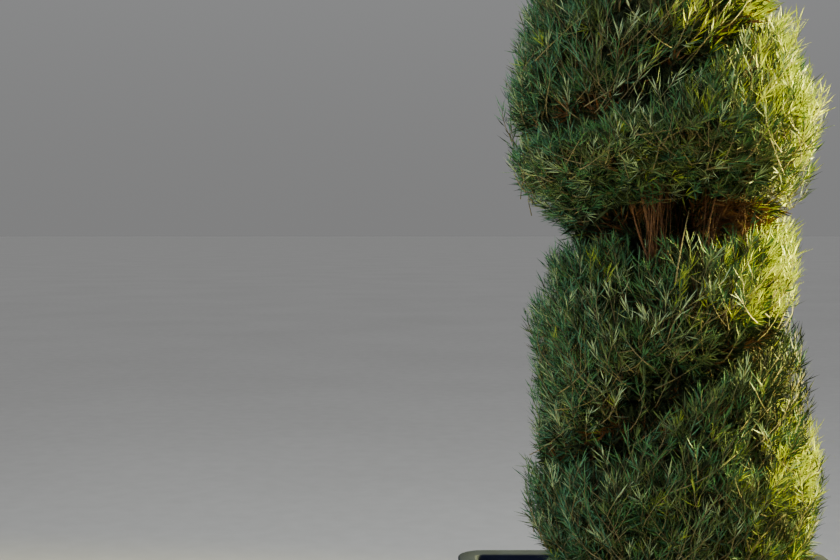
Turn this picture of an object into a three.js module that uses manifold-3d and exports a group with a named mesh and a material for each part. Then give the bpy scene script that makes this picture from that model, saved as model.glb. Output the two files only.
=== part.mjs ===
// Spiral topiary: a narrow-leaved evergreen clipped to a spiral round one trunk, in a square planter.
// Millimetres, +Z up, the front is at -Y. The origin is the middle of the planter's flat underside.

import * as THREE from 'three';
import { mergeVertices } from 'three/addons/utils/BufferGeometryUtils.js';
import Module from 'manifold-3d';

const wasm = await Module();
wasm.setup();

const GAP = 0.3; // clearance between neighbouring pieces
const FULL_TURN = 2 * Math.PI;

// Planter. Widths are half widths, from the middle to a flat side.
const PLANTER = {
  height: 410,
  rimHalf: 290,
  baseHalf: 246,
  wallTopHalf: 276,
  bandHalf: 285,
  grooveHalf: 279,
  innerTopHalf: 262,
  innerFloorHalf: 234,
  floorThickness: 12,
  lipHeight: 13,
  grooveHeight: 7,
  bandHeight: 42,
  edgeSoftening: 3,
  cornerRadius: 34,
  leastCornerRadius: 6,
  cornerSteps: 4,
};

// Compost in the planter, level round the trunk and a little lower along the walls.
const SOIL = { top: 378, edgeDrop: 9, levelShare: 0.3, cornerPull: 0.022, cornerPower: 8, cells: 6 };

// Trunk, from its flat cut on the compost to its tip.
const TRUNK = {
  tip: 1534,
  footRadius: 17,
  tipRadius: 3.4,
  thinning: 1.15,
  flare: 15,
  flareHeight: 24,
  buttress: 0.16,
  buttressCount: 4,
  sway: 4,
  swayLength: 420,
  swayForwards: 0.6,
  sides: 10,
  rings: 22,
  ringCrowding: 1.4,
};
const LEAN = -0.045; // sideways drift of the plant's middle for each millimetre of height, to the left

// The spiral. Turns are counted from the front of the first full groove, rising to the right.
const TURNS_FROM = -1.75;
const TURNS_TO = 4.25;
const MASSES = 18;
const UNDERSIDE = 440;
const CROWN_TOP = 1541;

// Height of the groove's middle at each turn.
const grooveHeight = smoothTable([
  [-1.25, UNDERSIDE], [-1, 462], [-0.5, 548], [-0.25, 620], [-0.1, 676], [0, 736], [0.08, 776],
  [0.25, 812], [0.5, 860], [0.75, 912], [1, 938], [1.25, 946], [1.5, 1000], [1.75, 1046],
  [1.9, 1074], [2, 1124], [2.1, 1184], [2.25, 1228], [2.5, 1266], [3, 1340], [3.5, 1412],
  [4, 1472], [4.5, 1515], [5, CROWN_TOP],
]);

// How deep the groove is cut below the tips at each turn, and how far its two lips stand open.
const grooveDepth = smoothTable([
  [-1.25, 34], [-0.75, 8], [-0.25, 6], [0, 36], [0.25, 14], [0.5, 42], [0.75, 56],
  [1, 72], [1.25, 14], [1.5, 42], [1.75, 10], [2, 38], [2.25, 8], [2.5, 38], [3, 40],
  [4, 32], [4.5, 24], [5, 16],
]);
const grooveOpening = smoothTable([
  [0.6, 1], [0.85, 10], [0.96, 28], [1.06, 28], [1.18, 8], [1.35, 1],
]);

// Radius that the leaf tips reach at each height.
const tipReach = smoothTable([
  [UNDERSIDE, 172], [480, 194], [530, 200], [610, 200], [680, 187], [740, 184], [790, 186],
  [850, 179], [900, 181], [950, 192], [1010, 206], [1070, 212], [1110, 208], [1160, 192],
  [1240, 174], [1340, 148], [1440, 116], [1510, 85], [1560, 52], [1625, 16],
]);

// Foliage: a clipped mass is a leafy shell on a bare inside, with sprays standing out of it.
const STAND_OUT = 25;
const SHELL = 95;
const INNER_LEAST = 19;
const LIP_CLEAR = 6;
// The groove's two sides: how high each slopes, its greatest share of the ridge, and the slope's shape.
const LIPS = { lower: 100, lowerMost: 0.85, upper: 90, upperMost: 0.45, curve: 1.2, shoulder: 0.5 };
const DEEPEST_SHARE = 0.42; // of the radius that the tips reach
const LEAST_SHELL = 12;
const SEAM = 0.0006; // between a mass and the next one, in turns
const CLEAR = 1.5; // between a mass's sprays and the edges of its own space
const CORE_CELLS = { along: 6, up: 4 };

const STEM = {
  out: 22,
  sunk: 22,
  radius: 4.2,
  taper: 0.8,
  sides: 5,
  twigRadius: 2.2,
  twigTaper: 0.7,
  twigSpread: 1.1,
  twigSunk: 10,
};
const BOUGH = {
  radius: 6.8,
  taper: 0.62,
  rise: 0.72,
  sag: 6,
  sides: 6,
  rings: 2,
  leastLength: 16,
  shortGirth: 0.55,
  fullLength: 110,
  sunk: 10,
};

// Twigs stand on a mass in rows and columns, each moved a little, and rise more the higher they stand.
const TWIGS = {
  rows: 2,
  columns: 3,
  narrowColumns: 2,
  narrowReach: 120,
  strayAlong: 0.5,
  strayUp: 0.4,
  swing: 0.5,
  leastRise: 0.17,
  rise: 0.2,
  moreRise: 0.75,
};
// A spray's teeth: how far along it each tip and the notch next to the rib lie, and the tip's share of the
// half width. One side has two teeth and the other side one between them.
const SPRAY = {
  length: 44,
  width: 30,
  rib: 3,
  thickness: 1.4,
  sunk: 8,
  fork: 0.5,
  apart: 4,
  leastSize: 0.85,
  sizeSpread: 0.3,
  narrowSize: 0.42,
  fullReach: 190,
  shrinks: [1, 0.8, 0.62],
  rightTeeth: [[0.52, 0.34, 0.9], [0.86, 0.6, 1]],
  leftTeeth: [[0.72, 0.46, 1]],
};

// The tuft on the trunk's tip: its core's radii and heights, and the twigs that wind up it.
const TUFT = {
  core: [[0, 0], [24, 1], [31, 12], [27, 30], [15, 50], [0, 62]],
  sides: 9,
  clear: 2,
  stemSunk: 15,
  stemTip: 2.6,
  twigs: 5,
  twigTurn: 0.382,
  strayTurn: 0.04,
  twigRadius: 27,
  narrowing: 0.8,
  twigFoot: 14,
  twigClimb: 40,
  twigSunk: 6,
  leastRise: 0.5,
  moreRise: 3,
};
const SEEDS = { masses: 1200, tuft: 77 };

const LOOKS = {
  planter: { colours: [0x161b26], roughness: 0.55 },
  compost: { colours: [0x2b2019], roughness: 1 },
  bark: { colours: [0x5d4234], roughness: 0.9 },
  foliage: { colours: [0x33512a, 0x2c4a2e, 0x3c5a2b, 0x2a4530], roughness: 0.8 },
};

// A smooth curve through [place, value] pairs, level beyond both ends and never past a listed value.
function smoothTable(points) {
  const steps = points.slice(1).map((next, i) => (next[1] - points[i][1]) / (next[0] - points[i][0]));
  const slopes = points.map((_, i) => {
    const before = steps[i - 1] ?? 0;
    const after = steps[i] ?? 0;
    return before * after > 0 ? (2 * before * after) / (before + after) : 0;
  });
  return (place) => {
    const last = points.length - 1;
    if (place <= points[0][0]) return points[0][1];
    if (place >= points[last][0]) return points[last][1];
    const i = points.findIndex((point) => point[0] > place) - 1;
    const span = points[i + 1][0] - points[i][0];
    const s = (place - points[i][0]) / span;
    const fromLeft = (1 + 2 * s) * (1 - s) ** 2 * points[i][1] + s * (1 - s) ** 2 * span * slopes[i];
    const fromRight = s ** 2 * (3 - 2 * s) * points[i + 1][1] - s ** 2 * (1 - s) * span * slopes[i + 1];
    return fromLeft + fromRight;
  };
}

// Seeded random numbers from 0 to 1.
function seededRandom(seed) {
  let state = seed >>> 0;
  return () => {
    state = (state + 0x6d2b79f5) >>> 0;
    let mixed = Math.imul(state ^ (state >>> 15), state | 1);
    mixed ^= mixed + Math.imul(mixed ^ (mixed >>> 7), mixed | 61);
    return ((mixed ^ (mixed >>> 14)) >>> 0) / 4294967296;
  };
}

function toSolid(geometry) {
  const bare = geometry.index ? geometry.clone() : geometry;
  bare.deleteAttribute('normal');
  bare.deleteAttribute('uv');
  const merged = mergeVertices(bare);
  return new wasm.Manifold(new wasm.Mesh({
    numProp: 3,
    vertProperties: new Float32Array(merged.attributes.position.array),
    triVerts: new Uint32Array(merged.index.array),
  }));
}

function fromSolid(solid) {
  const mesh = solid.getMesh();
  const geometry = new THREE.BufferGeometry();
  geometry.setAttribute('position', new THREE.BufferAttribute(mesh.vertProperties, 3));
  geometry.setIndex(new THREE.BufferAttribute(mesh.triVerts, 1));
  geometry.computeVertexNormals();
  return geometry;
}

// Moves every vertex of a geometry to the place that a function gives for it.
function reshape(geometry, placeOf) {
  const position = geometry.attributes.position;
  const point = new THREE.Vector3();
  for (let i = 0; i < position.count; i += 1) {
    point.fromBufferAttribute(position, i);
    const place = placeOf(point);
    position.setXYZ(i, place.x, place.y, place.z);
  }
  geometry.computeVertexNormals();
  return geometry;
}

const topiary = new THREE.Group();

function addPiece(name, geometry, look, shade = 0) {
  const color = look.colours[shade % look.colours.length];
  const material = new THREE.MeshStandardMaterial({ color, roughness: look.roughness, metalness: 0 });
  const mesh = new THREE.Mesh(geometry, material);
  mesh.name = name;
  topiary.add(mesh);
}

// The plant's middle line, which leans, and the trunk's own line, which sways a little about it.
function middleAt(height) {
  return new THREE.Vector3(LEAN * (height - SOIL.top), 0, height);
}

function trunkMiddleAt(height) {
  const along = height - SOIL.top;
  const sway = TRUNK.sway * Math.sin((FULL_TURN * along) / TRUNK.swayLength);
  const easing = 1 - along / (TRUNK.tip - SOIL.top);
  const sideways = sway * easing;
  return middleAt(height).add(new THREE.Vector3(sideways, TRUNK.swayForwards * sideways, 0));
}

function trunkRadiusAt(height, angle) {
  const along = height - SOIL.top;
  const share = along / (TRUNK.tip - SOIL.top);
  const shaft = THREE.MathUtils.lerp(TRUNK.footRadius, TRUNK.tipRadius, share ** TRUNK.thinning);
  const foot = Math.exp(-along / TRUNK.flareHeight);
  return shaft + TRUNK.flare * foot * (1 + TRUNK.buttress * Math.cos(TRUNK.buttressCount * angle));
}

function trunkGeometry(extraRadius) {
  const geometry = new THREE.CylinderGeometry(1, 1, 1, TRUNK.sides, TRUNK.rings);
  geometry.rotateX(Math.PI / 2);
  const foot = SOIL.top + GAP;
  return reshape(geometry, (point) => {
    const share = (point.z + 0.5) ** TRUNK.ringCrowding;
    const height = THREE.MathUtils.lerp(foot, TRUNK.tip, share);
    const radius = trunkRadiusAt(height, Math.atan2(point.y, point.x)) + extraRadius;
    const centre = trunkMiddleAt(height);
    return new THREE.Vector3(centre.x + radius * point.x, centre.y + radius * point.y, height);
  });
}

// Points round a square with rounded corners, in the order of a lathe's segments.
function squareSection(half, cornerRadius) {
  const corners = [];
  const radius = Math.max(cornerRadius, PLANTER.leastCornerRadius);
  for (let corner = 0; corner < 4; corner += 1) {
    for (let step = 0; step < PLANTER.cornerSteps; step += 1) {
      const share = step / (PLANTER.cornerSteps - 1);
      const angle = (corner + share) * (Math.PI / 2);
      const middle = (corner + 0.5) * (Math.PI / 2);
      const inset = (half - radius) * Math.SQRT2;
      corners.push(new THREE.Vector2(
        inset * Math.cos(middle) + radius * Math.cos(angle),
        inset * Math.sin(middle) + radius * Math.sin(angle),
      ));
    }
  }
  return corners;
}

function planterGeometry() {
  const p = PLANTER;
  const top = p.height;
  const lipFoot = top - p.lipHeight;
  const bandTop = lipFoot - p.grooveHeight;
  const bandFoot = bandTop - p.bandHeight;
  const soft = p.edgeSoftening;
  const profile = [
    [0, 0], [p.baseHalf - soft, 0], [p.baseHalf, soft], [p.wallTopHalf, bandFoot],
    [p.bandHalf, bandFoot + soft], [p.bandHalf, bandTop], [p.grooveHalf, bandTop + 1],
    [p.grooveHalf, lipFoot - 1], [p.rimHalf, lipFoot], [p.rimHalf, top - soft], [p.rimHalf - soft, top],
    [p.innerTopHalf, top], [p.innerFloorHalf, p.floorThickness], [0, p.floorThickness],
  ].map(([half, height]) => new THREE.Vector2(half, height));
  const segments = 4 * p.cornerSteps;
  const lathe = new THREE.LatheGeometry(profile, segments);
  lathe.rotateX(Math.PI / 2);
  return reshape(lathe, (point) => {
    const half = Math.hypot(point.x, point.y);
    if (half < 1) return new THREE.Vector3(0, 0, point.z);
    const turn = (Math.atan2(point.y, point.x) / FULL_TURN + 1) % 1;
    const section = squareSection(half, p.cornerRadius + half - p.rimHalf);
    const place = section[Math.round(turn * segments) % segments];
    return new THREE.Vector3(place.x, place.y, point.z);
  });
}

function soilGeometry() {
  const { floorThickness, innerFloorHalf, innerTopHalf, height: planterTop } = PLANTER;
  const geometry = new THREE.BoxGeometry(2, 2, 1, SOIL.cells, SOIL.cells, 1);
  return reshape(geometry, (point) => {
    const outwards = Math.max(Math.abs(point.x), Math.abs(point.y));
    const fall = THREE.MathUtils.smoothstep(outwards, SOIL.levelShare, 1);
    const height = point.z > 0 ? SOIL.top - SOIL.edgeDrop * fall : floorThickness + GAP;
    const share = (height - floorThickness) / (planterTop - floorThickness);
    const half = THREE.MathUtils.lerp(innerFloorHalf, innerTopHalf, share) - GAP;
    const corner = Math.min(Math.abs(point.x), Math.abs(point.y)) ** SOIL.cornerPower;
    const pulledIn = half * (1 - SOIL.cornerPull * corner);
    return new THREE.Vector3(point.x * pulledIn, point.y * pulledIn, height);
  });
}

// The spiral's space. A place in it is a turn, and a height between the groove below and the groove above.
function turnAngle(turn) {
  return FULL_TURN * (turn - 0.25);
}

function ridgeFoot(turn) {
  return grooveHeight(turn) + grooveOpening(turn) / 2 + LIP_CLEAR;
}

function ridgeTop(turn) {
  return grooveHeight(turn + 1) - grooveOpening(turn + 1) / 2 - LIP_CLEAR;
}

// How far the surface is set back between the two grooves: most at both lips, none along the crest.
function setBack(turn, share, height) {
  const rise = ridgeTop(turn) - ridgeFoot(turn);
  const lower = Math.max(0, 1 - share / Math.min(LIPS.lowerMost, LIPS.lower / rise));
  const upper = Math.max(0, 1 - (1 - share) / Math.min(LIPS.upperMost, LIPS.upper / rise));
  const depth = grooveDepth(turn) * lower ** LIPS.curve
    + LIPS.shoulder * grooveDepth(turn + 1) * upper ** LIPS.curve;
  return Math.min(depth, DEEPEST_SHARE * tipReach(height));
}

// The sprays are smaller where the plant is narrow.
function sprayScale(height) {
  return Math.min(1, SPRAY.narrowSize + tipReach(height) / SPRAY.fullReach);
}

function innerRadius(height) {
  return Math.max(INNER_LEAST, tipReach(height) - STAND_OUT - SHELL);
}

function coreRadius(turn, share, height) {
  const outer = tipReach(height) - STAND_OUT * sprayScale(height) - setBack(turn, share, height);
  return Math.max(outer, innerRadius(height) + LEAST_SHELL);
}

function ridgePoint(turn, share, radius) {
  const height = THREE.MathUtils.lerp(ridgeFoot(turn), ridgeTop(turn), share);
  const angle = turnAngle(turn);
  return middleAt(height).add(new THREE.Vector3(radius * Math.cos(angle), radius * Math.sin(angle), 0));
}

function coreGeometry(from, to) {
  const box = new THREE.BoxGeometry(1, 1, 1, CORE_CELLS.along, 1, CORE_CELLS.up);
  return reshape(box, (point) => {
    const turn = THREE.MathUtils.lerp(from, to, point.x + 0.5);
    const share = point.z + 0.5;
    const height = THREE.MathUtils.lerp(ridgeFoot(turn), ridgeTop(turn), share);
    const radius = point.y < 0 ? coreRadius(turn, share, height) : innerRadius(height);
    return ridgePoint(turn, share, radius);
  });
}

// Whether a point lies in the mass's own stretch of the spiral, clear of its neighbours.
function liesInMass(point, from, to) {
  const fromMiddle = point.clone().sub(middleAt(point.z));
  const radius = Math.hypot(fromMiddle.x, fromMiddle.y);
  const part = Math.atan2(fromMiddle.y, fromMiddle.x) / FULL_TURN + 0.25;
  const turn = part + Math.ceil(from - part);
  const sideRoom = Math.min(turn - from, to - turn) * FULL_TURN * radius;
  return sideRoom > CLEAR && point.z > ridgeFoot(turn) + CLEAR && point.z < ridgeTop(turn) - CLEAR;
}

function placeAlong(geometry, root, direction, side) {
  const along = direction.clone().normalize();
  const across = side.clone().addScaledVector(along, -side.dot(along)).normalize();
  const normal = across.clone().cross(along);
  const basis = new THREE.Matrix4().makeBasis(across, along, normal).setPosition(root);
  return geometry.applyMatrix4(basis);
}

// A straight tapering stick that starts at its root and points along a direction.
function stickGeometry(root, direction, length, radius, tipRadius, sides) {
  const stick = new THREE.CylinderGeometry(tipRadius, radius, length, sides, 1);
  stick.translate(0, length / 2, 0);
  const side = Math.abs(direction.z) > 0.9 ? new THREE.Vector3(1, 0, 0) : new THREE.Vector3(0, 0, 1);
  return placeAlong(stick, root, direction, side);
}

// A spray of narrow leaves: a flat blade cut into long teeth, on each side of a rib and at its end.
function sprayGeometry(root, direction, side, size) {
  const length = SPRAY.length * size;
  const half = (SPRAY.width * size) / 2;
  const rib = SPRAY.rib / 2;
  const toothed = (teeth, mirror) => teeth.flatMap(([tip, notch, spread]) => [
    [mirror * half * spread, length * tip], [mirror * rib, length * notch],
  ]);
  const right = toothed(SPRAY.rightTeeth, 1);
  const left = toothed(SPRAY.leftTeeth, -1).reverse();
  const outline = [[-rib, -SPRAY.sunk], [rib, -SPRAY.sunk], ...right, [0, length], ...left];
  const shape = new THREE.Shape(outline.map(([x, y]) => new THREE.Vector2(x, y)));
  const blade = new THREE.ExtrudeGeometry(shape, { depth: SPRAY.thickness, bevelEnabled: false });
  blade.translate(0, 0, -SPRAY.thickness / 2);
  return placeAlong(blade, root, direction, side);
}

function allVertices(geometry, test) {
  const position = geometry.attributes.position;
  const point = new THREE.Vector3();
  for (let i = 0; i < position.count; i += 1) {
    if (!test(point.fromBufferAttribute(position, i))) return false;
  }
  return true;
}

// One twig of a mass, forked in two where it leaves the leafy shell, each fork a spray where there is room.
function growTwig(root, direction, random, holds) {
  const across = new THREE.Vector3(random() - 0.5, random() - 0.5, 1.2 * random() - 0.6)
    .cross(direction).normalize();
  const forks = [-1, 1].map((side) => {
    const heading = direction.clone().addScaledVector(across, side * SPRAY.fork).normalize();
    const foot = root.clone().addScaledVector(across, side * SPRAY.apart);
    const size = sprayScale(root.z) * (SPRAY.leastSize + SPRAY.sizeSpread * random());
    return SPRAY.shrinks
      .map((shrink) => sprayGeometry(foot, heading, across, shrink * size))
      .find((blade) => allVertices(blade, holds));
  });
  return forks.filter((spray) => spray);
}

// Joins the pieces of a mass into one body. A hollow that joining seals is filled, a loose scrap is dropped.
function fuse(geometries) {
  const whole = geometries.map(toSolid).reduce((joined, piece) => joined.add(piece));
  return whole.decompose().reduce((main, body) => (body.volume() > main.volume() ? body : main));
}

// A mass of the spiral: its stem, its leafy shell and the twigs and sprays that stand out of it.
function growMass(index, from, to) {
  const random = seededRandom(SEEDS.masses + index);
  const holds = (point) => liesInMass(point, from, to);
  const pieces = [coreGeometry(from, to), ...massStems(from, to, holds)];
  const wide = tipReach(ridgeFoot(from)) > TWIGS.narrowReach;
  const columns = wide ? TWIGS.columns : TWIGS.narrowColumns;
  for (let row = 0; row < TWIGS.rows; row += 1) {
    for (let column = 0; column < columns; column += 1) {
      const along = (column + 0.5 + TWIGS.strayAlong * (random() - 0.5)) / columns;
      const turn = THREE.MathUtils.lerp(from, to, along);
      const share = (row + 0.5 + TWIGS.strayUp * (random() - 0.5)) / TWIGS.rows;
      const height = THREE.MathUtils.lerp(ridgeFoot(turn), ridgeTop(turn), share);
      const root = ridgePoint(turn, share, coreRadius(turn, share, height) - 1);
      const angle = turnAngle(turn) + TWIGS.swing * (random() - 0.5);
      const rise = TWIGS.leastRise + TWIGS.rise * share + TWIGS.moreRise * share * random();
      const direction = new THREE.Vector3(Math.cos(angle), Math.sin(angle), rise).normalize();
      pieces.push(...growTwig(root, direction, random, holds));
    }
  }
  return fromSolid(fuse(pieces));
}

// The stem of a mass and its bough lie on one line, which rises from the trunk to the mass's inside.
function boughLine(from, to) {
  const turn = (from + to) / 2;
  const height = (ridgeFoot(turn) + ridgeTop(turn)) / 2;
  const entry = ridgePoint(turn, 0.5, innerRadius(height));
  const angle = turnAngle(turn);
  const outwards = new THREE.Vector3(Math.cos(angle), Math.sin(angle), BOUGH.rise).normalize();
  return { entry, outwards };
}

// The stem, and a twig to each side of it that enters the leafy shell further along.
function massStems(from, to, holds) {
  const { entry, outwards } = boughLine(from, to);
  const length = hasBough(from, to) ? STEM.out : distanceToTrunk(from, to) - GAP;
  const root = entry.clone().addScaledVector(outwards, -length);
  const tipRadius = STEM.radius * STEM.taper;
  const stems = [stickGeometry(root, outwards, length + STEM.sunk, STEM.radius, tipRadius, STEM.sides)];
  const sideways = new THREE.Vector3(-outwards.y, outwards.x, 0).normalize();
  for (const side of hasBough(from, to) ? [-1, 1] : []) {
    const heading = outwards.clone().addScaledVector(sideways, side * STEM.twigSpread).normalize();
    const fork = root.clone().addScaledVector(outwards, STEM.radius);
    const end = fork.clone();
    while (Math.hypot(end.x - middleAt(end.z).x, end.y) < innerRadius(end.z) + STEM.twigSunk) {
      end.add(heading);
    }
    if (holds(end)) {
      const twigTip = STEM.twigRadius * STEM.twigTaper;
      stems.push(stickGeometry(fork, heading, end.distanceTo(fork), STEM.twigRadius, twigTip, 3));
    }
  }
  return stems;
}

function distanceToTrunk(from, to) {
  const { entry, outwards } = boughLine(from, to);
  const step = 0.1;
  for (let distance = 0; distance < PLANTER.rimHalf; distance += step) {
    const point = entry.clone().addScaledVector(outwards, -distance);
    const centre = trunkMiddleAt(point.z);
    const reach = Math.hypot(point.x - centre.x, point.y - centre.y) - STEM.radius * BOUGH.rise;
    if (reach < trunkRadiusAt(point.z, 0)) return distance;
  }
  throw new Error('a mass has no way to the trunk');
}

function hasBough(from, to) {
  return distanceToTrunk(from, to) > STEM.out + BOUGH.leastLength;
}

function boughGeometry(from, to, clearTrunk) {
  const { entry, outwards } = boughLine(from, to);
  const tip = entry.clone().addScaledVector(outwards, -STEM.out - GAP);
  const length = distanceToTrunk(from, to) - STEM.out + BOUGH.sunk;
  const root = tip.clone().addScaledVector(outwards, -length);
  const middle = root.clone().lerp(tip, 0.5).add(new THREE.Vector3(0, 0, -BOUGH.sag));
  const curve = new THREE.QuadraticBezierCurve3(root, middle, tip);
  const side = new THREE.Vector3(-outwards.y, outwards.x, 0).normalize();
  const limb = new THREE.CylinderGeometry(1, 1, 1, BOUGH.sides, BOUGH.rings);
  limb.rotateX(Math.PI / 2);
  const girth = THREE.MathUtils.lerp(BOUGH.shortGirth, 1, length / BOUGH.fullLength);
  reshape(limb, (point) => {
    const share = point.z + 0.5;
    const tangent = share > 0.99 ? outwards : curve.getTangent(share);
    const over = tangent.clone().cross(side);
    const radius = BOUGH.radius * girth * THREE.MathUtils.lerp(1, BOUGH.taper, share);
    const centre = curve.getPoint(share);
    return centre.addScaledVector(side, radius * point.x).addScaledVector(over, radius * point.y);
  });
  return fromSolid(toSolid(limb).subtract(clearTrunk));
}

// The tuft over the last turn, which stands on the trunk's tip.
function growTip() {
  const random = seededRandom(SEEDS.tuft);
  const foot = CROWN_TOP + TUFT.clear;
  const profile = TUFT.core.map(([radius, height]) => new THREE.Vector2(radius, height));
  const core = new THREE.LatheGeometry(profile, TUFT.sides);
  core.rotateX(Math.PI / 2);
  const centre = middleAt(foot);
  core.translate(centre.x, centre.y, foot);
  const stemFoot = trunkMiddleAt(TRUNK.tip).add(new THREE.Vector3(0, 0, GAP));
  const upwards = new THREE.Vector3(0, 0, 1);
  const stemLength = foot + TUFT.stemSunk - stemFoot.z;
  const stem = stickGeometry(stemFoot, upwards, stemLength, TRUNK.tipRadius, TUFT.stemTip, STEM.sides);
  const pieces = [core, stem];
  const holds = (point) => point.z > foot + CLEAR;
  for (let i = 0; i < TUFT.twigs; i += 1) {
    const angle = FULL_TURN * (i * TUFT.twigTurn + TUFT.strayTurn * random());
    const climb = i / (TUFT.twigs - 1);
    const radius = TUFT.twigRadius * (1 - TUFT.narrowing * climb);
    const around = new THREE.Vector3(Math.cos(angle), Math.sin(angle), 0);
    const root = centre.clone().addScaledVector(around, radius);
    root.z += TUFT.twigFoot + TUFT.twigClimb * climb;
    const direction = around.setZ(TUFT.leastRise + TUFT.moreRise * climb ** 2).normalize();
    pieces.push(...growTwig(root.addScaledVector(direction, -TUFT.twigSunk), direction, random, holds));
  }
  return fromSolid(fuse(pieces));
}

function massName(kind, index) {
  return `${kind}_${String(index + 1).padStart(2, '0')}`;
}

addPiece('planter', planterGeometry(), LOOKS.planter);
addPiece('compost', soilGeometry(), LOOKS.compost);
addPiece('trunk', trunkGeometry(0), LOOKS.bark);

const clearTrunk = toSolid(trunkGeometry(GAP));
for (let index = 0; index < MASSES; index += 1) {
  const span = (TURNS_TO - TURNS_FROM) / MASSES;
  const from = TURNS_FROM + index * span;
  const to = from + span - SEAM;
  if (hasBough(from, to)) {
    addPiece(massName('bough', index), boughGeometry(from, to, clearTrunk), LOOKS.bark);
  }
  addPiece(massName('foliage', index), growMass(index, from, to), LOOKS.foliage, index);
}
addPiece('foliage_tip', growTip(), LOOKS.foliage);

export default topiary;
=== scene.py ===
"""Spiral topiary in a square planter: leaves, twigs, bark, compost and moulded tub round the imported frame."""

import math

import bmesh
import bpy
import numpy as np
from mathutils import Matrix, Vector, noise


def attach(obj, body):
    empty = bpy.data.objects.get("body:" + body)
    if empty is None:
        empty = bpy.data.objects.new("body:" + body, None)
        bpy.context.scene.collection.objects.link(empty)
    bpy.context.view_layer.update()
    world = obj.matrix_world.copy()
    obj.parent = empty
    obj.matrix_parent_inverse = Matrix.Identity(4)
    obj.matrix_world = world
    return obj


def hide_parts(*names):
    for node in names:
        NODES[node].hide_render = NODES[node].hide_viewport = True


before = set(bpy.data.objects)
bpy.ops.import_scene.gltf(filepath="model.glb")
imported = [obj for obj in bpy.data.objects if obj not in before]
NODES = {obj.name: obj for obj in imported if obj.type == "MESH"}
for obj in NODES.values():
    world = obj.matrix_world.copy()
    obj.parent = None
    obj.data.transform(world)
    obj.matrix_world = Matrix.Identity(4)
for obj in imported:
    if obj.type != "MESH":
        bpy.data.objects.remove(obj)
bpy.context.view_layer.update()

MM = 0.001
FULL_TURN = 2 * math.pi
GOLDEN_ANGLE = math.radians(137.508)
UP = np.array([0.0, 0.0, 1.0])
ODD_WAY = np.array([0.31, 0.17, 0.93])
FOLIAGE_NODES = sorted(name for name in NODES if name.startswith("foliage"))

# Camera, from the photo's horizon line, its lens and the plant's place in the picture.
IMAGE_WIDTH, IMAGE_HEIGHT = 840, 560
HORIZON_ROW = 233
FOCAL_PIXELS = 1167
SENSOR_WIDTH = 36
CAMERA_PLACE = (-0.350, -1.575, 0.920)

# Sizes of the plant, in millimetres, turns and shares. Its outline, stems and boughs keep to the source's.
SOIL_TOP = 378
LEAN = -0.045
TRUNK = {
    "tip": 1534, "foot_radius": 17, "tip_radius": 3.4, "taper": 1.15, "flare": 15, "flare_height": 24,
    "buttress": 0.16, "buttress_count": 4, "sway": 4, "sway_length": 420, "sway_across": 0.6,
    "above_soil": 0.3, "rings": 110, "crowding": 1.5, "sides": 28,
}
TURNS_FROM, TURNS_TO, MASSES, MASS_GAP = -1.75, 4.25, 18, 0.0006
UNDERSIDE, CROWN_TOP = 440, 1541
STAND_OUT, SHELL, SHELL_LEAST, INNER_LEAST, LIP_CLEAR = 25, 95, 12, 19, 6
LIPS = {
    "lower": 100, "lower_most": 0.85, "upper": 90, "upper_most": 0.45, "curve": 1.2, "shoulder": 0.5,
    "deepest": 0.42,
}
GROOVE_ROOM = {"over": 11, "of_opening": 0.55}
STEM = {"out": 22, "sunk": 22, "radius": 4.2, "fork": 0.4, "tapers": (1, 0.92, 0.8), "sides": 8}
BOUGH = {
    "radius": 6.8, "taper": 0.62, "rise": 0.72, "sag": 6, "in_trunk": 0.6, "full_length": 110,
    "least_girth": 0.55, "collar": 0.3, "collar_fall": 14, "gap": 0.3, "overlap": 3,
    "search": (0, 400, 0.1), "rings": 14, "sides": 14,
}

# Finer growth, in millimetres, degrees and shares, that the source leaves out.
SEEDS = {"masses": 4200, "tuft": 77, "leaves": 31, "chips": 9, "neck": 5}
CLUMPS = {
    "spacing": 80, "jitter": 0.55, "inset": 88, "most_inset": 0.55, "drop": 44, "clear": 12, "uneven": 3.0,
}
SPRIGS = {"spacing": 30, "jitter": 0.9, "along": 0.52, "scatter": 2.0}
COVER = {
    "spacing": 10.0, "jitter": 0.9, "below": 19, "dome": 15, "dome_level": 0.4, "uneven": (1.3, 2.6),
    "deep_share": 0.38, "deep_by": (12, 40), "deep_hub": 0.7, "deep_shade": 1.3, "shade_depth": 60,
}
WANDS = {
    "spacing": 18, "jitter": 1.0, "out": -9, "uneven": 5, "aside": 32, "inwards": (16, 40), "down": 62,
    "size": (0.75, 1.2), "shade": 0.6,
}
GROOVE_FLOOR = {
    "spacing": 8, "rows": 4, "inwards": 40, "height": 12, "of_opening": 0.35, "inset": (22, 50), "length": 30,
    "rise": (-16, 26), "shade": 0.9, "shade_depth": 14, "first_turn": -1.2,
}
INSIDE = {
    "spacing": 11.5, "outwards": 30, "reach": (-35, 46), "most_reach": 0.62, "length": 34, "upwards": 0.8,
    "neck": 2.2, "narrow": 6, "above_underside": 25, "top": 1430, "shade": 2.0,
}
TUFT = {
    "shoots": 150, "above": 2, "foot": 4, "height": 56, "hub_foot": -14, "hub_height": 52, "hub_share": 0.2,
    "stem": 34, "climbs": (-0.5, 0, 0.25, 0.6, 1), "radii": (18, 22, 30, 21, -3), "size": 0.68, "uneven": 0.1,
    "branchlets": 5, "branchlet_drop": 30, "twig_drop": 16,
}
SHOOT_BEND = {"along": 0.55, "aside": 0.12, "down": 0.13}
PROFILE_POINTS = 41
ROW_DEPTH = 20
SLACK = {"ends": 0.02, "spread": 0.05}
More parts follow.
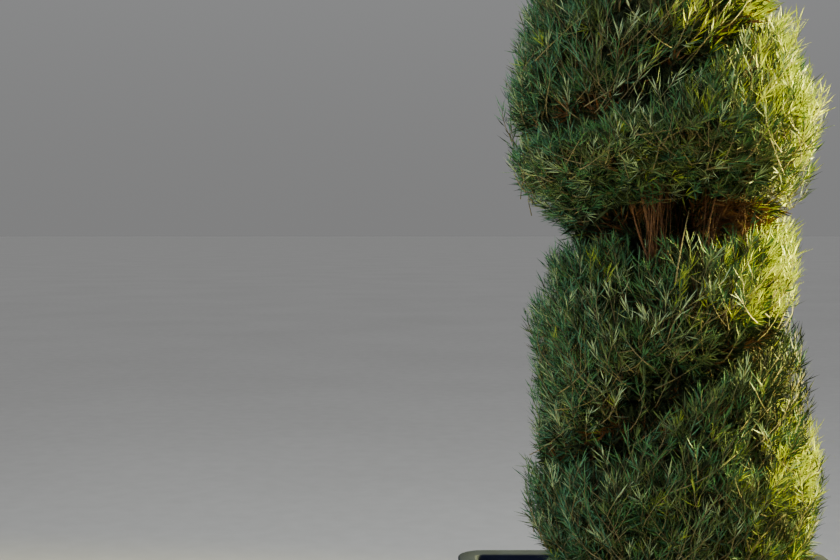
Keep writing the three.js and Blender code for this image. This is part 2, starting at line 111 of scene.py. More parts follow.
SHOOTS = {
    "cover": {"leaves": 14, "from": 0.34, "spread": (64, 33), "length": 21, "width": 1.6},
    "wand": {"leaves": 13, "from": 0.52, "spread": (58, 30), "length": 21, "width": 1.5},
    "deep": {"leaves": 9, "from": 0.25, "spread": (56, 26), "length": 24, "width": 2.3},
    "floor": {"leaves": 9, "from": 0.30, "spread": (62, 28), "length": 25, "width": 2.6},
    "inside": {"leaves": 7, "from": 0.15, "spread": (80, 35), "length": 33, "width": 4.6},
}
LEAF = {
    "place_jitter": 0.012, "turn_jitter": 0.25, "spread_jitter": 11, "upwards": 0.12, "length": (0.7, 1.2),
    "shrinks": (1.08, 0.86), "width": (0.85, 1.15), "twist": 0.6, "widest": 0.45, "curl": 0.2, "droop": 0.04,
}
LEAF_CORNERS = 4
LEAF_TRIANGLES = np.array([[0, 2, 1], [1, 2, 3]])
LEAVES_A_PIECE = 90000
SCALE_LEAST, SCALE_REACH = 0.42, 190
NECK_HOLE = {"turn": 1.020, "half": 0.035}
DRY_BAND = {"from": 1.04, "to": 1.18, "share": 0.75, "elsewhere": 0.12}


def smooth_table(points):
    """A smooth curve through (place, value) pairs, level beyond both ends and never past a listed value."""
    places, values = np.array(points, float).T
    steps = np.diff(values) / np.diff(places)
    before, after = np.append(0, steps), np.append(steps, 0)
    both = before * after
    slopes = np.where(both > 0, 2 * both / np.where(both > 0, before + after, 1), 0)

    def at(place):
        place = np.clip(place, places[0], places[-1])
        i = np.clip(np.searchsorted(places, place, side="right") - 1, 0, len(places) - 2)
        span = places[i + 1] - places[i]
        s = (place - places[i]) / span
        from_left = (1 + 2 * s) * (1 - s) ** 2 * values[i] + s * (1 - s) ** 2 * span * slopes[i]
        from_right = s**2 * (3 - 2 * s) * values[i + 1] - s**2 * (1 - s) * span * slopes[i + 1]
        return from_left + from_right

    return at


groove_height = smooth_table([
    (-1.25, UNDERSIDE), (-1, 462), (-0.5, 548), (-0.25, 620), (-0.1, 676), (0, 736), (0.08, 776),
    (0.25, 812), (0.5, 860), (0.75, 912), (1, 938), (1.25, 946), (1.5, 1000), (1.75, 1046),
    (1.9, 1074), (2, 1124), (2.1, 1184), (2.25, 1228), (2.5, 1266), (3, 1340), (3.5, 1412),
    (4, 1472), (4.5, 1515), (5, CROWN_TOP),
])
groove_depth = smooth_table([
    (-1.25, 34), (-0.75, 8), (-0.25, 6), (0, 36), (0.25, 14), (0.5, 42), (0.75, 56),
    (1, 72), (1.25, 14), (1.5, 42), (1.75, 10), (2, 38), (2.25, 8), (2.5, 38), (3, 40),
    (4, 32), (4.5, 24), (5, 16),
])
groove_opening = smooth_table([(0.6, 1), (0.85, 10), (0.96, 28), (1.06, 28), (1.18, 8), (1.35, 1)])
tip_reach = smooth_table([
    (UNDERSIDE, 172), (480, 194), (530, 200), (610, 200), (680, 187), (740, 184), (790, 186),
    (850, 179), (900, 181), (950, 192), (1010, 206), (1070, 212), (1110, 208), (1160, 192),
    (1240, 174), (1340, 148), (1440, 116), (1510, 85), (1560, 52), (1625, 16),
])
sunny_share = smooth_table([
    (480, 0.30), (600, 0.42), (665, 0.42), (690, 0.05), (800, 0.05), (835, 1), (1250, 1), (1600, 0.6),
])


# The plant's space, as in the source.

def middle_at(height):
    height = np.asarray(height, float)
    return np.stack([LEAN * (height - SOIL_TOP), np.zeros_like(height), height], -1)


def trunk_middle_at(height):
    along = np.asarray(height, float) - SOIL_TOP
    easing = 1 - along / (TRUNK["tip"] - SOIL_TOP)
    sway = TRUNK["sway"] * np.sin(FULL_TURN * along / TRUNK["sway_length"]) * easing
    return middle_at(height) + np.stack([sway, TRUNK["sway_across"] * sway, np.zeros_like(sway)], -1)


def trunk_radius_at(height, angle):
    along = np.maximum(height - SOIL_TOP, 0)
    share = along / (TRUNK["tip"] - SOIL_TOP)
    shaft = TRUNK["foot_radius"] + (TRUNK["tip_radius"] - TRUNK["foot_radius"]) * share ** TRUNK["taper"]
    foot = np.exp(-along / TRUNK["flare_height"])
    return shaft + TRUNK["flare"] * foot * (1 + TRUNK["buttress"] * np.cos(TRUNK["buttress_count"] * angle))


def level_way(angle):
    """The level direction at an angle round the plant."""
    angle = np.asarray(angle, float)
    return np.stack([np.cos(angle), np.sin(angle), np.zeros_like(angle)], -1)


def turn_angle(turn):
    return FULL_TURN * (np.asarray(turn, float) - 0.25)


def ridge_foot(turn):
    return groove_height(turn) + groove_opening(turn) / 2 + LIP_CLEAR


def ridge_top(turn):
    return groove_height(turn + 1) - groove_opening(turn + 1) / 2 - LIP_CLEAR


def ridge_height(turn, share):
    return ridge_foot(turn) + share * (ridge_top(turn) - ridge_foot(turn))


def spray_scale(height):
    return np.minimum(1, SCALE_LEAST + tip_reach(height) / SCALE_REACH)


def set_back(turn, share, height):
    """How far the surface is set back between the two grooves: most at both lips, none along the crest."""
    rise = ridge_top(turn) - ridge_foot(turn)
    lower = np.clip(1 - share / np.minimum(LIPS["lower_most"], LIPS["lower"] / rise), 0, 1)
    upper = np.clip(1 - (1 - share) / np.minimum(LIPS["upper_most"], LIPS["upper"] / rise), 0, 1)
    depth = groove_depth(turn) * lower ** LIPS["curve"]
    depth = depth + LIPS["shoulder"] * groove_depth(turn + 1) * upper ** LIPS["curve"]
    return np.minimum(depth, LIPS["deepest"] * tip_reach(height))


def inner_radius(height):
    return np.maximum(INNER_LEAST, tip_reach(height) - STAND_OUT - SHELL)


def ridge_point(turn, share, radius):
    return middle_at(ridge_height(turn, share)) + level_way(turn_angle(turn)) * radius[..., None]


def tip_surface(turn, share):
    """A point that the leaf tips reach."""
    height = ridge_height(turn, share)
    reach = tip_reach(height) - set_back(turn, share, height)
    return ridge_point(turn, share, np.maximum(reach, inner_radius(height) + SHELL_LEAST))


def clear_of_neighbours(points, start, end, slack):
    """Whether each point lies in the mass's own stretch of the spiral, or little over its edges."""
    from_middle = points - middle_at(points[..., 2])
    part = np.arctan2(from_middle[..., 1], from_middle[..., 0]) / FULL_TURN + 0.25
    turn = part + np.round((start + end) / 2 - part)
    inside = (turn > start - slack) & (turn < end + slack)
    height = points[..., 2]
    over, opening = GROOVE_ROOM["over"], GROOVE_ROOM["of_opening"]
    low = groove_height(turn) - over + opening * groove_opening(turn)
    high = groove_height(turn + 1) + over - opening * groove_opening(turn + 1)
    return inside & (height > low) & (height < high)


# Small tools for arrays of points and for meshes.

def unit(vectors):
    return vectors / np.maximum(np.linalg.norm(vectors, axis=-1, keepdims=True), 1e-9)


def lerp(a, b, share):
    return a + (b - a) * share


def distances(some, others):
    return np.linalg.norm(some[:, None] - others[None], axis=2)


def joined_mesh(name, vertices, triangles, material, smooth=False):
    """One object from an array of vertices in millimetres and an array of triangles."""
    mesh = bpy.data.meshes.new(name)
    mesh.vertices.add(len(vertices))
    mesh.vertices.foreach_set("co", (vertices * MM).astype(np.float32).ravel())
    mesh.loops.add(3 * len(triangles))
    mesh.loops.foreach_set("vertex_index", triangles.astype(np.int32).ravel())
    mesh.polygons.add(len(triangles))
    mesh.polygons.foreach_set("loop_start", np.arange(0, 3 * len(triangles), 3, dtype=np.int32))
    mesh.update(calc_edges=True)
    mesh.polygons.foreach_set("use_smooth", np.full(len(triangles), smooth))
    mesh.materials.append(material)
    piece = bpy.data.objects.new(name, mesh)
    bpy.context.collection.objects.link(piece)
    return piece


def repeated(faces, corners, count):
    """The faces of one small mesh for each of many copies of it."""
    return (faces[None] + corners * np.arange(count)[:, None, None]).reshape(-1, 3)


def tubes(paths, radii, sides):
    """Vertices and triangles of closed tapering tubes: paths is (tubes, points, 3), radii (tubes, points)."""
    count, points = paths.shape[:2]
    tangents = unit(np.gradient(paths, axis=1))
    side = unit(np.cross(tangents, ODD_WAY))
    over = np.cross(tangents, side)
    angles = np.arange(sides) * FULL_TURN / sides
    spokes = side[:, :, None] * np.cos(angles)[:, None] + over[:, :, None] * np.sin(angles)[:, None]
    vertices = paths[:, :, None] + spokes * radii[:, :, None, None]
    ring = np.arange(sides)
    after = (ring + 1) % sides
    walls = []
    for step in range(points - 1):
        low, high = step * sides, (step + 1) * sides
        walls.append(np.stack([low + ring, low + after, high + after], -1))
        walls.append(np.stack([low + ring, high + after, high + ring], -1))
    fan = np.arange(1, sides - 1)
    last = (points - 1) * sides
    walls.append(np.stack([np.zeros_like(fan), fan + 1, fan], -1))
    walls.append(np.stack([np.full_like(fan, last), last + fan, last + fan + 1], -1))
    return vertices.reshape(-1, 3), repeated(np.concatenate(walls), points * sides, count)


def sagging(starts, ends, points, sag):
    """Paths from starts to ends that sag by a share of their length, so that they curve up to their ends."""
    share = np.linspace(0, 1, points)[None, :, None]
    length = np.linalg.norm(ends - starts, axis=-1)[:, None, None]
    return starts[:, None] + (ends - starts)[:, None] * share - UP * sag * length * 4 * share * (1 - share)


def arched(starts, bends, ends, points):
    """Paths from starts to ends that are pulled towards their bends."""
    share = np.linspace(0, 1, points)[None, :, None]
    start, bend, end = starts[:, None], bends[:, None], ends[:, None]
    return (1 - share) ** 2 * start + 2 * share * (1 - share) * bend + share**2 * end


# Growth of a mass: branchlets to its clumps, twigs to its sprigs, shoots to its surface, leaves on them.

def bough_line(start, end):
    """Where a mass's stem enters its leafy shell, and the direction of stem and bough."""
    turn = (start + end) / 2
    height = (ridge_foot(turn) + ridge_top(turn)) / 2
    entry = ridge_point(turn, 0.5, inner_radius(height))
    return entry, unit(level_way(turn_angle(turn)) + UP * BOUGH["rise"])


def distance_to_trunk(start, end):
    """How far inwards from its entry a mass's stem meets the trunk."""
    entry, outwards = bough_line(start, end)
    for distance in np.arange(*BOUGH["search"]):
        point = entry - distance * outwards
        reach = math.hypot(*(point - trunk_middle_at(point[2]))[:2]) - STEM["radius"] * BOUGH["rise"]
        if reach < trunk_radius_at(point[2], 0):
            return distance
    raise ValueError("a mass has no way to the trunk")


def spread_over_ridge(start, end, rng, rule):
    """Tips spread evenly over a mass's surface, in rows that follow the spiral, and the normals there."""
    spacing, jitter = rule["spacing"], rule["jitter"]
    shares = 0.5 - 0.5 * np.cos(np.linspace(0, math.pi, PROFILE_POINTS))
    middle = (start + end) / 2
    profile = tip_surface(np.full_like(shares, middle), shares)
    rows = max(2, round(np.linalg.norm(np.diff(profile, axis=0), axis=1).sum() / spacing))
    turns, places = [], []
    for row in range(rows):
        place = (row + 0.5) / rows
        radius = tip_reach(ridge_height(middle, place)) - ROW_DEPTH
        count = max(1, round((end - start) * FULL_TURN * radius / spacing))
        offset = 0.25 + 0.5 * (row % 2)
        column = (np.arange(count) + offset + jitter * (rng.random(count) - 0.5)) / count
        turns.append(start + (end - start) * column)
        places.append(place + jitter * (rng.random(count) - 0.5) / rows)
    turns = np.concatenate(turns)
    places = np.clip(np.concatenate(places), 0.01, 0.99)
    lines = tip_surface(np.repeat(turns[:, None], len(shares), 1), np.repeat(shares[None], len(turns), 0))
    along = np.cumsum(np.linalg.norm(np.diff(lines, axis=1), axis=2), axis=1)
    along = np.concatenate([np.zeros((len(turns), 1)), along], 1) / along[:, -1:]
    shares = np.array([np.interp(place, line, shares) for place, line in zip(places, along)])
    return turns, tip_surface(turns, shares), surface_normals(turns, shares)


def surface_normals(turns, shares):
    step = 0.01
    along = tip_surface(turns + step, shares) - tip_surface(turns - step, shares)
    up = tip_surface(turns, np.minimum(shares + step, 1)) - tip_surface(turns, np.maximum(shares - step, 0))
    return unit(np.cross(along, up))


def shoots_of(hubs, ends, normals, size, out, rng, dry=0.0):
    """Shoots that leave their hub outwards and curve up to their end, a little aside, a share of them dry."""
    length = np.linalg.norm(ends - hubs, axis=1)[:, None]
    aside = rng.normal(0, SHOOT_BEND["aside"], ends.shape)
    bends = lerp(hubs, ends, SHOOT_BEND["along"]) + (aside - UP * SHOOT_BEND["down"]) * length
    return {
        "hub": hubs, "bend": bends, "end": ends, "normal": normals, "size": size, "out": out,
        "dry": np.broadcast_to(dry, out.shape),
    }


def chosen(shoots, keeps):
    return {name: values[keeps] for name, values in shoots.items()}


def grow_cover(clumps, start, end, rng):
    """Short shoots all over a mass, in sprigs of a few that fork from one twig, some well below the rest."""
    tips, normals = spread_over_ridge(start, end, rng, COVER)[1:]
    count = len(tips)
    size = spray_scale(tips[:, 2])
    apart = distances(tips, clumps["tip"])
    out = apart.min(1) / (0.5 * CLUMPS["spacing"] * size)
    deep = rng.random(count) < COVER["deep_share"]
    extra = np.where(deep, rng.uniform(*COVER["deep_by"], count), rng.gamma(*COVER["uneven"], count))
    dome = COVER["dome"] * (out**2 - COVER["dome_level"])
    depth = (COVER["below"] + dome + clumps["rise"][apart.argmin(1)] + extra) * size
    ends = tips - normals * depth[:, None]
    sprig_tips = spread_over_ridge(start, end, rng, SPRIGS)[1]
    origins = clumps["origin"][distances(sprig_tips, clumps["tip"]).argmin(1)]
    scatter = rng.normal(0, SPRIGS["scatter"], sprig_tips.shape)
    sprig_hubs = lerp(origins, sprig_tips, SPRIGS["along"]) + scatter
    hub_depth = np.where(deep, COVER["deep_hub"] * extra * size, 0)
    hubs = sprig_hubs[distances(tips, sprig_tips).argmin(1)] - normals * hub_depth[:, None]
    shade = np.where(deep, COVER["deep_shade"] + extra / COVER["shade_depth"], out)
    shoots = shoots_of(hubs, ends, normals, size, shade, rng)
    clear = clear_of_neighbours(ends, start, end, SLACK["ends"])
    return chosen(shoots, clear & ~deep), chosen(shoots, clear & deep), (origins, sprig_hubs)


def grow_wands(start, end, rng):
    """Longer shoots that lie up along the surface, bare and pale below and leafy where they stand out."""
    tips, normals = spread_over_ridge(start, end, rng, WANDS)[1:]
    count = len(tips)
    size = spray_scale(tips[:, 2])
    lying = 1 - np.abs(normals[:, 2:])
    ends = tips + normals * (rng.normal(WANDS["out"], WANDS["uneven"], count) * size)[:, None]
    sideways = np.cross(normals, UP) * rng.normal(0, WANDS["aside"], count)[:, None]
    inwards = normals * rng.uniform(*WANDS["inwards"], count)[:, None]
    length = size * rng.uniform(*WANDS["size"], count)
    hubs = ends - (inwards + UP * WANDS["down"] * lying + sideways) * length[:, None]
    keeps = clear_of_neighbours(ends, start, end, SLACK["ends"])
    keeps = keeps & clear_of_neighbours(hubs, start, end, SLACK["spread"])
    return chosen(shoots_of(hubs, ends, normals, size, np.full(count, WANDS["shade"]), rng), keeps)


def grow_groove_floor(start, end, rng):
    """Shoots in the bottom of the groove below a mass, dark as painted shade and some dry, but for the hole in
    its neck.
    """
    rule = GROOVE_FLOOR
    radius = tip_reach(groove_height((start + end) / 2)) - rule["inwards"]
    count = round((end - start) * FULL_TURN * radius / rule["spacing"]) * rule["rows"]
    turns = start + (end - start) * (np.arange(count) + rng.random(count)) / count
    half_height = rule["height"] + rule["of_opening"] * groove_opening(turns)
    heights = groove_height(turns) + rng.uniform(-1, 1, count) * half_height
    keeps = (np.abs(turns - NECK_HOLE["turn"]) > NECK_HOLE["half"]) & (turns > rule["first_turn"])
    in_band = (turns > DRY_BAND["from"]) & (turns < DRY_BAND["to"])
    dry = np.where(in_band, DRY_BAND["share"], DRY_BAND["elsewhere"])
    depth = np.minimum(groove_depth(turns), LIPS["deepest"] * tip_reach(heights))
    reach = tip_reach(heights) - (depth + rng.uniform(*rule["inset"], count))
    around = level_way(turn_angle(turns))
    ends = middle_at(heights) + around * reach[:, None]
    size = spray_scale(heights)
    rise = rng.uniform(*rule["rise"], count)
    hubs = ends - (around * rule["length"] + UP * rise[:, None]) * size[:, None]
    # Painted shade: the deeper the groove, the more of its shoots take the shade colour.
    shade = rule["shade"] + groove_depth(turns) / rule["shade_depth"]
    return chosen(shoots_of(hubs, ends, around, size, shade, rng, dry), keeps)


def grow_inside(start, end, rng):
    """Larger sprays in painted shade round the bare middle, groove to groove, which close the plant against the
    light.
    """
    rule = INSIDE
    middle = (start + end) / 2
    low, high = groove_height(middle), groove_height(middle + 1)
    radius = inner_radius((low + high) / 2) + rule["outwards"]
    count = round((end - start) * FULL_TURN * radius * (high - low) / rule["spacing"] ** 2)
    turns = start + (end - start) * rng.random(count)
    shares = rng.random(count)
    heights = lerp(groove_height(turns), groove_height(turns + 1), shares)
    around = level_way(turn_angle(turns))
    reach = inner_radius(heights) + rng.uniform(*rule["reach"], count)
    reach = np.clip(reach, INNER_LEAST, rule["most_reach"] * tip_reach(heights))
    ends = middle_at(heights) + around * reach[:, None]
    size = spray_scale(heights)
    heading = unit(rng.normal(0, 1, ends.shape) + UP * rule["upwards"])
    hubs = ends - heading * rule["length"] * size[:, None]
    lower = shares < 0.5
    neck = np.where(lower, groove_opening(turns), groove_opening(turns + 1))
    from_groove = np.where(lower, heights - groove_height(turns), groove_height(turns + 1) - heights)
    keeps = (from_groove > rule["neck"] * (neck - rule["narrow"])) & (heights < rule["top"])
    keeps = keeps & (heights > UNDERSIDE + rule["above_underside"])
    return chosen(shoots_of(hubs, ends, around, size, np.full(count, rule["shade"]), rng), keeps)


def grow_mass(index, start, end):
    """Stem, branchlets, twigs and shoots of one mass, as arrays of points in millimetres."""
    rng = np.random.default_rng(SEEDS["masses"] + index)
    entry, outwards = bough_line(start, end)
    fork = entry + outwards * STEM["sunk"] * STEM["fork"]
    turns, tips, normals = spread_over_ridge(start, end, rng, CLUMPS)
    size = spray_scale(tips[:, 2])
    inset = np.minimum(CLUMPS["inset"] * size, CLUMPS["most_inset"] * tip_reach(tips[:, 2]))
    origins = tips - normals * inset[:, None] - UP * CLUMPS["drop"] * size[:, None]
    origins[:, 2] = np.maximum(origins[:, 2], ridge_foot(turns) + CLUMPS["clear"])
    clumps = {"tip": tips, "origin": origins, "rise": rng.normal(0, CLUMPS["uneven"], len(tips))}
    cover, deep, twigs = grow_cover(clumps, start, end, rng)
    return {
        "stem": (entry - outwards * STEM["out"], fork, STEM["radius"]),
        "branchlets": (np.repeat(fork[None], len(origins), 0), origins),
        "twigs": twigs,
        "cover": cover,
        "wand": grow_wands(start, end, rng),
        "deep": deep,
        "floor": grow_groove_floor(start, end, rng),
        "inside": grow_inside(start, end, rng),
        "span": (start, end),
    }


def grow_tip():
    """The tuft over the last turn, on the trunk's tip, with a collar of shoots under it."""
    rng = np.random.default_rng(SEEDS["tuft"])
    count = TUFT["shoots"]
    foot = CROWN_TOP + TUFT["above"]
    climb = np.linspace(TUFT["climbs"][0], TUFT["climbs"][-1], count)
    around = level_way(np.arange(count) * GOLDEN_ANGLE)
    radius = np.interp(climb, TUFT["climbs"], TUFT["radii"])[:, None]
    middle = middle_at(np.full(count, foot))
    ends = middle + around * radius + UP * (TUFT["foot"] + TUFT["height"] * climb)[:, None]
    hub_rise = TUFT["hub_foot"] + TUFT["hub_height"] * climb
    hubs = middle + around * radius * TUFT["hub_share"] + UP * hub_rise[:, None]
    stem_tip = middle_at(foot + TUFT["stem"])
    upwards = 0.2 + 2 * climb * np.abs(climb)
    normals = unit(around + UP * upwards[:, None] + rng.normal(0, TUFT["uneven"], (count, 3)))
    cover = shoots_of(hubs, ends, normals, np.full(count, TUFT["size"]), rng.random(count), rng)
    none = chosen(cover, slice(0))
    branchlets = TUFT["branchlets"]
    some_hubs = hubs[10::20][:branchlets]
    return {
        "stem": (trunk_middle_at(TRUNK["tip"]), stem_tip, TRUNK["tip_radius"]),
        "branchlets": (np.repeat(stem_tip[None] - UP * TUFT["branchlet_drop"], branchlets, 0), some_hubs),
        "twigs": (np.repeat(stem_tip[None] - UP * TUFT["twig_drop"], count, 0), hubs),
        "cover": cover,
        "wand": none,
        "deep": none,
        "floor": none,
        "inside": none,
        "span": None,
    }


def leaves_on(shoots, kind, span, rng):
    """Four corners of every leaf on some shoots, which shoot it sits on and how far along the shoot."""
    count, each = len(shoots["end"]), kind["leaves"]
    place = kind["from"] + (1 - kind["from"]) * (np.arange(each) + 0.7) / each
    place = np.clip(place[None] + rng.normal(0, LEAF["place_jitter"], (count, each)), 0, 1)[..., None]
    hub, bend, end = (shoots[name][:, None] for name in ("hub", "bend", "end"))
    foot = (1 - place) ** 2 * hub + 2 * place * (1 - place) * bend + place**2 * end
    axis = unit((1 - place) * (bend - hub) + place * (end - bend))
    side = unit(np.cross(axis, ODD_WAY))
    over = np.cross(axis, side)
    turn = np.arange(each)[None] * GOLDEN_ANGLE + rng.uniform(0, FULL_TURN, (count, 1))
    turn = (turn + rng.normal(0, LEAF["turn_jitter"], (count, each)))[..., None]
    spread = lerp(*kind["spread"], place**1.5) + rng.normal(0, LEAF["spread_jitter"], place.shape)
    spread = np.radians(spread)
    around = side * np.cos(turn) + over * np.sin(turn)
    along = unit(axis * np.cos(spread) + around * np.sin(spread) + UP * LEAF["upwards"])
    size = shoots["size"][:, None, None]
    length = kind["length"] * size * rng.uniform(*LEAF["length"], place.shape) * lerp(*LEAF["shrinks"], place)
    half = kind["width"] * rng.uniform(*LEAF["width"], place.shape) * size**0.5 / 2
    twist = rng.normal(0, LEAF["twist"], place.shape)
    flat = unit(np.cross(along, axis) + 1e-6)
    across = unit(flat * np.cos(twist) + np.cross(along, flat) * np.sin(twist))
    middle = foot + along * length * LEAF["widest"]
    tip = foot + along * length + (axis * LEAF["curl"] - UP * LEAF["droop"]) * length
    corners = [foot, middle - across * half, middle + across * half, tip]
    keeps = np.ones((count, each), bool)
    if span:
        keeps = clear_of_neighbours(tip, *span, SLACK["spread"])
    shoot = np.repeat(np.arange(count)[:, None], each, 1)
    return np.stack(corners, -2)[keeps], shoot[keeps], place[..., 0][keeps]


# Materials. The two colours of a leaf and its roughness, from the darkest leaf to the driest.

LEAF_COLOURS = {
    # shade: painted shade, the darkest leaves, dealt to hollows, inside sprays, groove floors and the foot of
    # each shoot.
    "shade": ((0.010, 0.019, 0.007), (0.022, 0.034, 0.013), 0.80),
    "olive": ((0.044, 0.074, 0.022), (0.072, 0.108, 0.036), 0.60),
    "green": ((0.021, 0.078, 0.028), (0.040, 0.116, 0.044), 0.58),
    # cool: a bluer green, a little everywhere and most on the plant's left as painted skylight.
    "cool": ((0.026, 0.096, 0.050), (0.056, 0.150, 0.084), 0.58),
    # A yellow-green, a little everywhere as its own tone and more on the sunny right as painted sunlight.
    "fresh_and_sunlit": ((0.125, 0.180, 0.016), (0.200, 0.250, 0.028), 0.62),
    "sunlit": ((0.380, 0.440, 0.006), (0.540, 0.590, 0.014), 0.75),
    # pale: a paler leaf tone, painted highlights on the shaded side, kept out of hollows.
    "pale": ((0.150, 0.212, 0.110), (0.245, 0.325, 0.180), 0.60),
    "dry": ((0.072, 0.030, 0.010), (0.150, 0.066, 0.022), 0.85),
}
SHADE, DRY = (list(LEAF_COLOURS).index(name) for name in ("shade", "dry"))
SUNNY_WAY = np.array([0.93, -0.33, 0.15])
NORMAL_JITTER = 0.14
INNER_LEAVES = {"from": 0.40, "fade": 2.5}


def ramp(values, start, width):
    return np.clip((values - start) / width, 0, 1)


def deal_colours(shoots, kind_name, rng):
    """The leaf colour of each shoot: cool, most on the plant's left as painted skylight; yellow-green and
    sunlit on its right as painted sunlight; painted shade in hollows; all mixed.
    """
    count = len(shoots["end"])
    # The inside sprays are all painted shade.
    if kind_name == "inside":
        return np.full(count, SHADE)
    normals = shoots["normal"] + rng.normal(0, NORMAL_JITTER, shoots["normal"].shape)
    side = np.clip(0.5 + 0.5 * (normals @ SUNNY_WAY), 0, 1)
    sunny = sunny_share(shoots["end"][:, 2])
    # Painted skylight: leaves facing left take more of the cool colour.
    cool = ramp(-normals[:, 0], 0.60, 0.35)
    # Painted shade in the hollows between clumps and deeper down, and a painted shadow band on the right where
    # sunny_share is low.
    hollow = np.maximum(shoots["out"] - 0.9, 0)
    unlit_edge = ramp(side, 0.80, 0.12) * (0.8 * (1 - sunny) + 3.5 * np.maximum(0.4 - sunny, 0))
    weights = {
        "shade": 2.3 * hollow + unlit_edge,
        "olive": 0.42 * (1 - 0.8 * cool),
        "green": 0.36 * (1.3 - side),
        "cool": 0.05 + 1.5 * cool,
        # Painted sunlight: more yellow-green leaves where they face the light.
        "fresh_and_sunlit": 0.03 + 0.5 * side**4 * sunny,
        "sunlit": 3.0 * ramp(side, 0.875, 0.07) * sunny,
        # Painted highlights: pale leaves away from the hollows and the sunny side.
        "pale": 0.32 * np.maximum(1 - hollow, 0) * (1 - side),
        "dry": 0.16 * hollow,
    }
    weights = np.cumsum(np.stack([weights[name] for name in LEAF_COLOURS], -1), 1)
    dealt = (rng.random(count)[:, None] * weights[:, -1:] > weights).sum(1)
    return np.where(rng.random(count) < shoots["dry"], DRY, dealt)


NODE_STEP = 220


def node(tree, kind, given=None, **values):
    """A new node with some of its properties and inputs set."""
    made = tree.nodes.new(kind)
    made.location.x = NODE_STEP * len(tree.nodes)
    for name, value in values.items():
        setattr(made, name, value)
    for name, value in (given or {}).items():
        made.inputs[name].default_value = value
    return made


def wire(tree, *links):
    """Links between nodes, each given as a node, its output, the next node and its input."""
    for source, output, target, entry in links:
        tree.links.new(source.outputs[output], target.inputs[entry])


def group_of(name, inputs, outputs):
    """A shader group with its input and output nodes. Inputs with a tuple for a default are colours."""
    tree = bpy.data.node_groups.new(name, "ShaderNodeTree")
    for label, default in inputs.items():
        kind = "NodeSocketColor" if isinstance(default, tuple) else "NodeSocketFloat"
        tree.interface.new_socket(label, in_out="INPUT", socket_type=kind).default_value = default
    for label in outputs:
        kind = "NodeSocketColor" if label == "Color" else "NodeSocketFloat"
        tree.interface.new_socket(label, in_out="OUTPUT", socket_type=kind)
    return tree, node(tree, "NodeGroupInput"), node(tree, "NodeGroupOutput")


def mottle_group():
    """Two colours mixed by coarse and fine noise, with a mask of the same noise for roughness."""
    inputs = {"First": (0.1, 0.1, 0.1, 1), "Second": (0.2, 0.2, 0.2, 1), "Coarse": 6.0, "Fine": 60.0}
    tree, given, made = group_of("mottle", inputs, ["Color", "Mask"])
    where = node(tree, "ShaderNodeTexCoord")
    coarse = node(tree, "ShaderNodeTexNoise")
    fine = node(tree, "ShaderNodeTexNoise", {"Detail": 5})
    both = node(tree, "ShaderNodeMath", operation="ADD")
    spread = node(tree, "ShaderNodeMapRange", {"From Min": 0.72, "From Max": 1.28})
    mix = node(tree, "ShaderNodeMix", data_type="RGBA")
    wire(
        tree,
        (where, "Object", coarse, "Vector"), (given, "Coarse", coarse, "Scale"), (coarse, "Fac", both, 0),
        (where, "Object", fine, "Vector"), (given, "Fine", fine, "Scale"), (fine, "Fac", both, 1),
        (both, 0, spread, "Value"), (spread, 0, mix, "Factor"), (spread, 0, made, "Mask"),
        (given, "First", mix, "A"), (given, "Second", mix, "B"), (mix, "Result", made, "Color"),
    )
    return tree


def grain_group():
    """Long grain along an upright axis: a height for bump and a mask for colour."""
    tree, given, made = group_of("long_grain", {"Scale": 40.0, "Length": 5.0}, ["Height", "Mask"])
    where = node(tree, "ShaderNodeTexCoord")
    inverse = node(tree, "ShaderNodeMath", {0: 1}, operation="DIVIDE")
    squeeze = node(tree, "ShaderNodeCombineXYZ", {"X": 1, "Y": 1})
    scaled = node(tree, "ShaderNodeVectorMath", operation="MULTIPLY")
    ridges = node(tree, "ShaderNodeTexNoise", {"Detail": 6, "Distortion": 0.6})
    plates = node(tree, "ShaderNodeTexVoronoi", feature="DISTANCE_TO_EDGE")
    edge = node(tree, "ShaderNodeMapRange", {"From Max": 0.14})
    total = node(tree, "ShaderNodeMath", operation="ADD")
    wire(
        tree,
        (given, "Length", inverse, 1), (inverse, 0, squeeze, "Z"),
        (where, "Object", scaled, 0), (squeeze, 0, scaled, 1),
        (scaled, 0, ridges, "Vector"), (given, "Scale", ridges, "Scale"), (ridges, "Fac", made, "Mask"),
        (scaled, 0, plates, "Vector"), (given, "Scale", plates, "Scale"), (plates, "Distance", edge, "Value"),
        (ridges, "Fac", total, 0), (edge, 0, total, 1), (total, 0, made, "Height"),
    )
    return tree


MOTTLE = mottle_group()
GRAIN = grain_group()


def new_material(name, roughness, specular):
    """A material, its node tree and its shader."""
    material = bpy.data.materials.new(name)
    material.use_nodes = True
    tree = material.node_tree
    shader = tree.nodes["Principled BSDF"]
    shader.inputs["Roughness"].default_value = roughness
    shader.inputs["Specular IOR Level"].default_value = specular
    return material, tree, shader


def mottled(tree, first, second, coarse, fine):
    """The mottle group with its two colours and the scales of its noise."""
    given = {"First": (*first, 1), "Second": (*second, 1), "Coarse": coarse, "Fine": fine}
    return node(tree, "ShaderNodeGroup", given, node_tree=MOTTLE)


def mottled_material(name, first, second, roughness, coarse, fine):
    material, tree, shader = new_material(name, roughness, 0.2)
    wire(tree, (mottled(tree, first, second, coarse, fine), "Color", shader, "Base Color"))
    return material


def bark_material(name, first, second, scale, length, depth):
    material, tree, shader = new_material(name, 0.85, 0.25)
    mottle = mottled(tree, first, second, 30.0, 260.0)
    grain = node(tree, "ShaderNodeGroup", node_tree=GRAIN)
    grain.inputs["Scale"].default_value = scale
    grain.inputs["Length"].default_value = length
    dark = node(tree, "ShaderNodeMix", {"Factor": 0.7}, data_type="RGBA", blend_type="MULTIPLY")
    bump = node(tree, "ShaderNodeBump", {"Distance": depth})
    wire(
        tree,
        (mottle, "Color", dark, "A"), (grain, "Mask", dark, "B"), (dark, "Result", shader, "Base Color"),
        (grain, "Height", bump, "Height"), (bump, "Normal", shader, "Normal"),
    )
    return material


